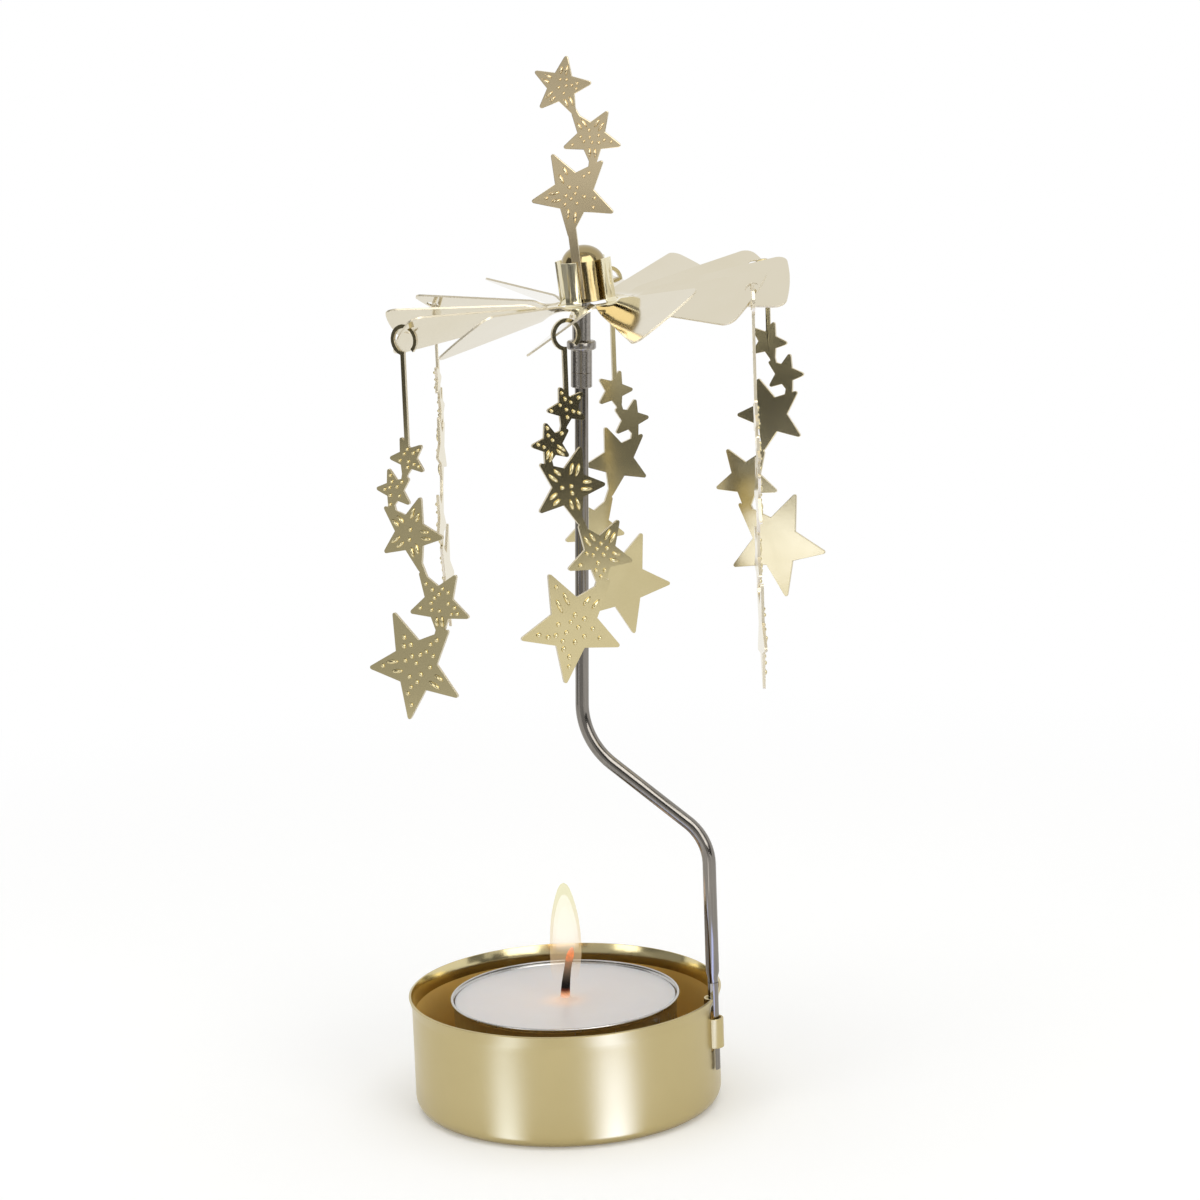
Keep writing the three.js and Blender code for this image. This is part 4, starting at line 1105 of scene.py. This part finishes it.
class HOLDER_OT_tealight(bpy.types.Operator):
    """Press the foil shell, pour the wax and set the burnt wick"""

    bl_idname = "candle_holder.tealight"
    bl_label = "Tealight"

    # The shell: its dished bottom as shares of the foot's radius, its wall as shares of the taper and the
    # height, and the heights between which its flutes come and go
    FLUTES = 60
    STEPS_PER_FLUTE = 4
    ROUND_STEPS = 5
    LIP_STEPS = 10
    LIP_TURN = (-70, 150)
    DISH = (0.8, 0.85)
    DISH_HEIGHT = 0.8
    FOOT_ROUND = 0.8 * MM
    WALL_ROWS = ((0.15, 1 / 7), (0.5, 0.5), (0.96, 0.92), (1, 1))
    FLUTED_FROM = 0.9
    FLUTE_START = (0.6 * MM, 2.4 * MM)
    FLUTE_END = (0.6, 0.93)
    FOIL_SHARE = 0.5
    # The wax: its edge as millimetres inwards, its pool as shares of the radius and its collar as shares of
    # the wick, each with a height in millimetres over the level of the wax
    WAX_STEPS = 96
    WAX_ROOM = 0.15 * MM
    WAX_FLOOR = 0.9 * MM
    WAX_CHAMFER = (0.8 * MM, 0.7 * MM)
    WAX_WALL_ROW = 0.9
    WAX_SHOULDER = 0.3 * MM
    WAX_EDGE = ((0, 0.4), (0.3, 0.3), (0.9, 0.1), (2.44, 0))
    WAX_POOL = ((0.62, -0.05), (0.5, -0.14), (0.3, -0.2))
    WAX_COLLAR = ((1.6, -0.16), (1, 0.05), (0.62, 0.45), (0, 0.5))
    # The wick: its widths from root to tip as shares of its diameter, and how its lean grows
    WICK_SIDES = 18
    WICK_ROOT = 0.5 * MM
    WICK_CURVE = 1.8
    WICK_WIDTHS = (
        1.0, 1.02, 1.04, 1.03, 1.0, 0.97, 0.93, 0.89, 0.85, 0.82, 0.8, 0.8, 0.84, 0.88, 0.82, 0.64, 0.3)

    def execute(self, context):
        settings = context.scene.candle_holder
        sizes = settings.tealight
        self.add_shell(settings, sizes)
        self.add_wax(settings, sizes)
        self.add_wick(settings, sizes)
        keep_node("wick_sustainer", finish_named("pressed_aluminium", settings))
        return {"FINISHED"}

    def add_shell(self, settings, sizes):
        """The foil shell, with crimped flutes down its wall and a rolled bead at its rim."""
        wall = sizes.radius - sizes.bead
        foot = wall - sizes.taper
        top = sizes.height - 2 * sizes.bead
        dish, step = (foot * share for share in self.DISH)
        lift, edge, lip = sizes.sheet * self.DISH_HEIGHT, self.FOOT_ROUND, sizes.lip
        bm = turned([
            (0, lift), (dish, lift), (step, 0),
            *arc(foot - edge, edge, edge, -90, 0, self.ROUND_STEPS),
            *[(foot + sizes.taper * out, top * up) for out, up in self.WALL_ROWS],
            *arc(sizes.radius - lip, sizes.height - lip, lip, *self.LIP_TURN, self.LIP_STEPS),
        ], self.FLUTES * self.STEPS_PER_FLUTE)
        fade = [top * share for share in self.FLUTE_END]
        for vert in bm.verts:
            reach = math.hypot(vert.co.x, vert.co.y)
            if reach > foot * self.FLUTED_FROM:
                swing = math.atan2(vert.co.y, vert.co.x)
                share = smooth_share(vert.co.z, *self.FLUTE_START) * (1 - smooth_share(vert.co.z, *fade))
                depth = sizes.flute * share * (1 + math.cos(self.FLUTES * swing)) / 2
                vert.co.x *= (reach - depth) / reach
                vert.co.y *= (reach - depth) / reach
        bmesh.ops.translate(bm, verts=bm.verts, vec=(0, 0, sizes.base))
        shell = add_piece("tealight_foil_shell", bm, finish_named("pressed_aluminium", settings), "tealight",
                          ["tealight_shell"], sharp=60)
        sheet = shell.modifiers.new("Foil", "SOLIDIFY")
        sheet.thickness = sizes.sheet * self.FOIL_SHARE
        sheet.offset = -1

    def add_wax(self, settings, sizes):
        """The wax, with a raised rim where it wets the foil and a shallow pool round the wick."""
        wall = sizes.radius - sizes.bead - sizes.sheet - self.WAX_ROOM
        foot = wall - sizes.taper
        top = sizes.height - sizes.wax_drop
        edge = wall + sizes.lip
        inset, raised = self.WAX_CHAMFER
        row = self.WAX_WALL_ROW
        bm = turned([
            (0, self.WAX_FLOOR), (foot - inset, self.WAX_FLOOR), (foot, self.WAX_FLOOR + raised),
            (foot + sizes.taper * row, top * row), (wall, top - self.WAX_SHOULDER),
            *[(edge - inwards * MM, top + over * MM) for inwards, over in self.WAX_EDGE],
            *[(wall * share, top + over * MM) for share, over in self.WAX_POOL],
            *[(sizes.wick * share, top + over * MM) for share, over in self.WAX_COLLAR],
        ], self.WAX_STEPS)
        bmesh.ops.translate(bm, verts=bm.verts, vec=(0, 0, sizes.base))
        add_piece("tealight_wax_pool", bm, finish_named("paraffin_wax", settings), "tealight",
                  ["tealight_wax"], sharp=70)

    def add_wick(self, settings, sizes):
        """The wick: a thin braid that leans over and swells at its glowing tip."""
        foot = sizes.base + sizes.height - sizes.wax_drop - self.WICK_ROOT
        height = sizes.wick_height + self.WICK_ROOT
        place = Vector((0, 0, foot))
        bm = bmesh.new()
        bmesh.ops.create_circle(bm, cap_ends=True, segments=self.WICK_SIDES, radius=sizes.wick / 2,
                                matrix=Matrix.Translation(place))
        edges = bm.edges[:]
        widths = self.WICK_WIDTHS
        for step in range(1, len(widths)):
            share = step / (len(widths) - 1)
            lean = sizes.wick_lean * share ** self.WICK_CURVE
            last, place = place, Vector((lean, 0, foot + height * share))
            edges = grow_ring(bm, edges, place - last, widths[step] / widths[step - 1])
        bmesh.ops.edgeloop_fill(bm, edges=edges)
        bmesh.ops.recalc_face_normals(bm, faces=bm.faces)
        add_piece("tealight_wick_braid", bm, finish_named("charred_cotton", settings), "tealight",
                  ["wick"], sharp=60)


class HOLDER_OT_flame(bpy.types.Operator):
    """Light the flame: a thin mantle round a bright heart"""

    bl_idname = "candle_holder.flame"
    bl_label = "Flame"

    STEPS = 48
    FOOT_GAP = 0.1 * MM
    # How far up the flame bends, and how much of the wick's lean it follows
    BEND_SHARE = 0.5
    LEAN_SHARE = 0.3
    # Height and width along the outline, as shares
    OUTLINE = [
        (0.0, 0.4), (0.05, 0.52), (0.12, 0.7), (0.2, 0.86), (0.29, 0.96), (0.38, 1.0), (0.48, 1.0),
        (0.59, 0.96), (0.69, 0.88), (0.79, 0.74), (0.88, 0.56), (0.945, 0.39), (0.983, 0.22), (1.0, 0.0),
    ]
    # Name, material, share of the width, and lower and upper share of the height of each shell
    SHELLS = [
        ("flame_mantle", "flame_mantle", 1, 0, 1),
        ("flame_glow", "flame_heart", 0.83, 0.08, 0.9),
        ("flame_core", "flame_heart", 0.6, 0.18, 0.8),
    ]

    def execute(self, context):
        settings = context.scene.candle_holder
        sizes = settings.tealight
        foot = sizes.base + sizes.height - sizes.wax_drop + self.FOOT_GAP
        for name, finish, width, low, high in self.SHELLS:
            radius, bottom = sizes.flame / 2 * width, foot + sizes.flame_height * low
            height = sizes.flame_height * (high - low)
            profile = [(radius * share, bottom + height * up) for up, share in self.OUTLINE]
            bm = turned([(0, bottom), *profile], self.STEPS)
            for vert in bm.verts:
                bend = smooth_share(vert.co.z, foot, foot + self.BEND_SHARE * sizes.flame_height)
                vert.co.x += self.LEAN_SHARE * sizes.wick_lean * bend
            add_piece(name, bm, finish_named(finish, settings), "tealight")
        return {"FINISHED"}


class HOLDER_OT_stage(bpy.types.Operator):
    """Set up the pale floor, the soft studio light and the camera"""

    bl_idname = "candle_holder.stage"
    bl_label = "Stage"

    CAMERA_PLACE = Vector((0.16818, -0.51893, 0.19160))
    CAMERA_AHEAD = Vector((-0.2885, 0.9379, -0.1929))
    CAMERA_ROLL = math.radians(-2.1)
    CAMERA_LENS = 102.88
    SENSOR = 36
    CLIP_START = 0.01
    WHITE = (1, 1, 1, 1)
    FILL = 0.5
    FLOOR_RADIUS = 6
    FLOOR_SIDES = 96
    FLOOR_NEAR = 0.1
    FLOOR_FAR = 0.32
    FLOOR_LIFT = 0.14
    # Name, direction, distance, height, width, length and radiance of each soft box
    SOFT_BOXES = [
        ("left_strip", -121.5, 0.65, 0.22, 0.24, 0.5, 1.9),
        ("right_strip", -38.6, 0.65, 0.22, 0.34, 0.5, 2.1),
    ]
    # Height, size and radiance
    OVERHEAD = (0.75, 0.9, 1.28)
    # Power, radius and height over the tealight's rim
    FLAME_LIGHT = (0.0018, 0.003, 0.011)
    # Name, first and last direction, radius, lowest and highest edge and brightness of each upright card
    UPRIGHT_CARDS = [
        ("table_edge", -178, -4, 0.45, 0.02, 0.088, 0.06),
        ("right_edge_card", -26, -14, 0.44, 0.05, 0.125, 0.04),
        ("low_ring_card", -110, -52, 0.25, 0.0, 0.09, 0.5),
        ("rod_streak_card", -80, -15, 0.25, 0.2, 0.49, 3.4),
        ("left_glow_card", -134.9, -123, 0.4, 0.0, 0.021, (1.85, 2.0, 2.75)),
        ("left_grey_card", -146, -136, 0.32, 0.0, 0.072, 0.46),
        ("left_finger_card", -176, -146, 0.3, 0.0, 0.075, 0.34),
        ("front_finger_card", -121, -98, 0.3, 0.0, 0.075, 0.34),
        ("right_low_card", -15, -8, 0.335, 0.0, 0.02, 0.86),
        ("right_grey_card", -15, -8, 0.335, 0.057, 0.072, 0.22),
        ("right_pale_card", -15, -8, 0.335, 0.072, 0.2, 0.65),
        ("front_grey_card", -113, -93, 0.43, 0.075, 0.112, 0.76),
        ("front_high_card", -113, -93, 0.43, 0.112, 0.2, 0.56),
        ("left_dark_card", -178, -135, 0.55, 0.075, 0.5, 0.15),
        ("front_dark_card", -92, -58, 0.55, 0.075, 0.5, 0.14),
        ("right_dark_card", -8, 7, 0.55, 0.075, 0.5, 0.2),
    ]
    # Name, first and last direction, inner and outer radius, height and brightness of each flat card
    FLAT_CARDS = [
        ("ceiling_card", -163, 17, 0, 0.6, 0.5, 0.6),
        ("rod_floor_card", -90, -76, 0.105, 0.17, 0.0006, 2.2),
    ]
    # Name, directions of the wall that mirrors it and light of the middle of each card on the floor
    FLOOR_CARDS = [
        ("left_floor_card", -105, -87, (1.8, 2.05, 3.1)),
        ("right_floor_card", -67, -43, (2.35, 2.75, 4.8)),
    ]
    FLOOR_CARD_LENGTH = 0.058
    CARD_STEPS = 16
    GLOW = "glow"
    CARD_LIFT = 0.0005

    def execute(self, context):
        settings = context.scene.candle_holder
        scene = context.scene
        scene.view_settings.view_transform = "Standard"
        self.add_camera(scene)
        self.add_world(scene)
        self.add_floor(settings.finishes)
        self.add_lights(scene, settings.finishes, settings.tealight)
        self.add_cards(settings.cup)
        return {"FINISHED"}

    def add_camera(self, scene):
        """The photograph's camera."""
        data = bpy.data.cameras.new("photo_camera")
        data.lens = self.CAMERA_LENS
        data.sensor_width = self.SENSOR
        data.clip_start = self.CLIP_START
        camera = bpy.data.objects.new("photo_camera", data)
        turn = self.CAMERA_AHEAD.to_track_quat("-Z", "Y") @ Quaternion(Z_AXIS, self.CAMERA_ROLL)
        camera.matrix_world = Matrix.Translation(self.CAMERA_PLACE) @ turn.to_matrix().to_4x4()
        scene.collection.objects.link(camera)
        scene.camera = camera

    def seen_directly(self, tree):
        """A socket that is 1 for rays that show the background: seen, mirrored or through glass."""
        path = add_node(tree, "ShaderNodeLightPath")
        mirrored = add_node(tree, "ShaderNodeMath", {
            0: path.outputs["Is Glossy Ray"], 1: path.outputs["Is Transmission Ray"]}, operation="MAXIMUM")
        seen = add_node(tree, "ShaderNodeMath", {
            0: path.outputs["Is Camera Ray"], 1: mirrored.outputs["Value"]}, operation="MAXIMUM")
        return seen.outputs["Value"]

    def add_world(self, scene):
        """A white surround that is seen in full and lights the scene gently."""
        world = bpy.data.worlds.new("studio_surround")
        world.use_nodes = True
        tree = world.node_tree
        tree.nodes.clear()
        white = add_node(tree, "ShaderNodeBackground", {"Color": self.WHITE, "Strength": 1})
        fill = add_node(tree, "ShaderNodeBackground", {"Color": self.WHITE, "Strength": self.FILL})
        blend = add_node(tree, "ShaderNodeMixShader", {
            "Fac": self.seen_directly(tree), 1: fill.outputs["Background"], 2: white.outputs["Background"]})
        add_node(tree, "ShaderNodeOutputWorld", {"Surface": blend.outputs["Shader"]})
        scene.world = world

    def add_floor(self, colours):
        """A pale floor that keeps the shadow near the cup and runs out to white."""
        finish, tree = new_finish("pale_floor")
        place = add_node(tree, "ShaderNodeTexCoord").outputs["Object"]
        away = add_node(tree, "ShaderNodeVectorMath", {0: place}, operation="LENGTH")
        far = add_node(tree, "ShaderNodeMapRange", {
            "Value": away.outputs["Value"], "From Min": self.FLOOR_NEAR, "From Max": self.FLOOR_FAR},
            interpolation_type="SMOOTHSTEP")
        shown = add_node(tree, "ShaderNodeMath", {
            0: far.outputs["Result"], 1: self.seen_directly(tree)}, operation="MULTIPLY")
        matt = add_node(tree, "ShaderNodeBsdfDiffuse", {"Color": opaque(colours.floor)})
        faint = add_node(tree, "ShaderNodeMath", {
            0: self.seen_directly(tree), 1: self.FLOOR_LIFT}, operation="MULTIPLY")
        lift = add_node(tree, "ShaderNodeEmission", {"Color": self.WHITE, "Strength": faint.outputs["Value"]})
        near = add_node(tree, "ShaderNodeAddShader", {0: matt.outputs["BSDF"], 1: lift.outputs["Emission"]})
        white = add_node(tree, "ShaderNodeEmission", {"Color": self.WHITE, "Strength": 1})
        blend = add_node(tree, "ShaderNodeMixShader", {
            "Fac": shown.outputs["Value"], 1: near.outputs["Shader"], 2: white.outputs["Emission"]})
        add_node(tree, "ShaderNodeOutputMaterial", {"Surface": blend.outputs["Shader"]})
        bm = bmesh.new()
        bmesh.ops.create_circle(bm, cap_ends=True, segments=self.FLOOR_SIDES, radius=self.FLOOR_RADIUS)
        new_object("pale_floor", bm, finish)

    def facing_centre(self, direction, distance, height):
        """A frame at that direction and distance whose Z axis points back to the object."""
        turn = math.radians(direction)
        out = Vector((math.cos(turn), math.sin(turn), 0))
        place = out * distance + Z_AXIS * height
        return Matrix.Translation(place) @ (-out).to_track_quat("Z", "Y").to_matrix().to_4x4()

    def add_lights(self, scene, colours, tealight):
        """Two upright soft boxes beside the camera, a large one overhead and the flame's own light."""
        for name, direction, distance, height, width, tall, radiance in self.SOFT_BOXES:
            place = self.facing_centre(direction, distance, height) @ Matrix.Rotation(math.pi, 4, "X")
            self.add_soft_box(scene, name, place, width, tall, radiance)
        height, size, radiance = self.OVERHEAD
        place = Matrix.Translation((0, 0, height))
        overhead = self.add_soft_box(scene, "overhead_box", place, size, size, radiance)
        overhead.visible_glossy = False
        energy, radius, over = self.FLAME_LIGHT
        data = bpy.data.lights.new("flame_light", "POINT")
        data.energy = energy
        data.color = colours.flame_light
        data.shadow_soft_size = radius
        lamp = bpy.data.objects.new("flame_light", data)
        lamp.location = (0, 0, tealight.base + tealight.height + over)
        lamp.visible_camera = False
        scene.collection.objects.link(lamp)

    def add_soft_box(self, scene, name, place, width, tall, radiance):
        """An area lamp of that radiance."""
        data = bpy.data.lights.new(name, "AREA")
        data.shape = "RECTANGLE"
        data.size = width
        data.size_y = tall
        data.energy = radiance * math.pi * width * tall
        lamp = bpy.data.objects.new(name, data)
        lamp.matrix_world = place
        lamp.visible_camera = False
        scene.collection.objects.link(lamp)
        return lamp

    def add_cards(self, cup):
        """Studio cards out of view, dark and bright, for the metal to mirror."""
        for name, first, last, radius, low, high, brightness in self.UPRIGHT_CARDS:
            light = brightness if isinstance(brightness, tuple) else (brightness,) * 3
            self.add_card(name, self.sector([(radius, low), (radius, high)], first, last), light)
        for name, first, last, inner, outer, height, brightness in self.FLAT_CARDS:
            sheet = self.sector([(inner, height), (outer, height)], first, last)
            self.add_card(name, sheet, (brightness,) * 3)
        for name, first, last, peak in self.FLOOR_CARDS:
            fan = self.floor_fan(cup.radius, math.radians(first), math.radians(last), peak)
            self.add_card(name, fan)

    def sector(self, profile, first, last):
        """A sheet that is a profile of radius and height pairs, spun between two directions in degrees."""
        bm = bmesh.new()
        edge = chain(bm, profile)
        bmesh.ops.rotate(bm, verts=bm.verts, cent=ORIGIN, matrix=Matrix.Rotation(math.radians(first), 3, "Z"))
        bmesh.ops.spin(bm, geom=edge, cent=ORIGIN, axis=Z_AXIS, angle=math.radians(last - first),
                       steps=self.CARD_STEPS)
        return bm

    def floor_fan(self, radius, first, last, peak):
        """A sheet on the floor that a stretch of the cup's wall shows the camera as an upright streak."""
        bm = bmesh.new()
        glow = bm.verts.layers.float_color.new(self.GLOW)
        towards = math.atan2(self.CAMERA_PLACE.y, self.CAMERA_PLACE.x)
        near, far = [], []
        for step in range(self.CARD_STEPS + 1):
            facing = first + (last - first) * step / self.CARD_STEPS
            away = 2 * facing - towards
            place = Vector((math.cos(facing), math.sin(facing), 0)) * (radius + self.CARD_LIFT)
            place.z = self.CARD_LIFT
            reach = Vector((math.cos(away), math.sin(away), 0)) * self.FLOOR_CARD_LENGTH
            near.append(bm.verts.new(place))
            far.append(bm.verts.new(place + reach))
            share = math.sin(math.pi * step / self.CARD_STEPS) ** 2
            near[-1][glow] = far[-1][glow] = opaque(1 + (level - 1) * share for level in peak)
        sides = [[bm.edges.new(pair) for pair in zip(line, line[1:])] for line in (near, far)]
        bmesh.ops.bridge_loops(bm, edges=sides[0] + sides[1])
        return bm

    def add_card(self, name, bm, light=None):
        """One card that only mirrors show, with an even light or one that is kept in its points."""
        finish, tree = new_finish(name)
        if light:
            tint = opaque(light)
        else:
            tint = add_node(tree, "ShaderNodeAttribute", attribute_name=self.GLOW).outputs["Color"]
        glow = add_node(tree, "ShaderNodeEmission", {"Color": tint, "Strength": 1})
        add_node(tree, "ShaderNodeOutputMaterial", {"Surface": glow.outputs["Emission"]})
        card = new_object(name, bm, finish)
        card.visible_camera = False
        card.visible_diffuse = False
        card.visible_shadow = False


BUILDERS = [
    HOLDER_OT_candle_cup,
    HOLDER_OT_stand_rod,
    HOLDER_OT_pivot_sleeve,
    HOLDER_OT_rotor_wheel,
    HOLDER_OT_hub_cap,
    HOLDER_OT_star_pendants,
    HOLDER_OT_top_ornament,
    HOLDER_OT_tealight,
    HOLDER_OT_flame,
    HOLDER_OT_stage,
]


class HOLDER_PT_pieces(bpy.types.Panel):
    """Lists the pieces of the candle holder in the sidebar"""

    bl_idname = "HOLDER_PT_pieces"
    bl_label = "Rotating Candle Holder"
    bl_space_type = "VIEW_3D"
    bl_region_type = "UI"
    bl_category = "Candle Holder"

    def draw(self, context):
        for builder in BUILDERS:
            self.layout.operator(builder.bl_idname)


GROUPS = [CupSizes, StandSizes, WheelSizes, StarSizes, TealightSizes, Finishes, HolderSettings]


def register():
    """Registers the settings, the operators and the panel."""
    for group in [*GROUPS, *BUILDERS, HOLDER_PT_pieces]:
        bpy.utils.register_class(group)
    bpy.types.Scene.candle_holder = bpy.props.PointerProperty(type=HolderSettings)


def unregister():
    """Removes what register added."""
    del bpy.types.Scene.candle_holder
    for group in reversed([*GROUPS, *BUILDERS, HOLDER_PT_pieces]):
        bpy.utils.unregister_class(group)


def main():
    """Builds every piece in order."""
    register()
    for builder in BUILDERS:
        family, name = builder.bl_idname.split(".")
        getattr(getattr(bpy.ops, family), name)()


if __name__ == "__main__":
    main()
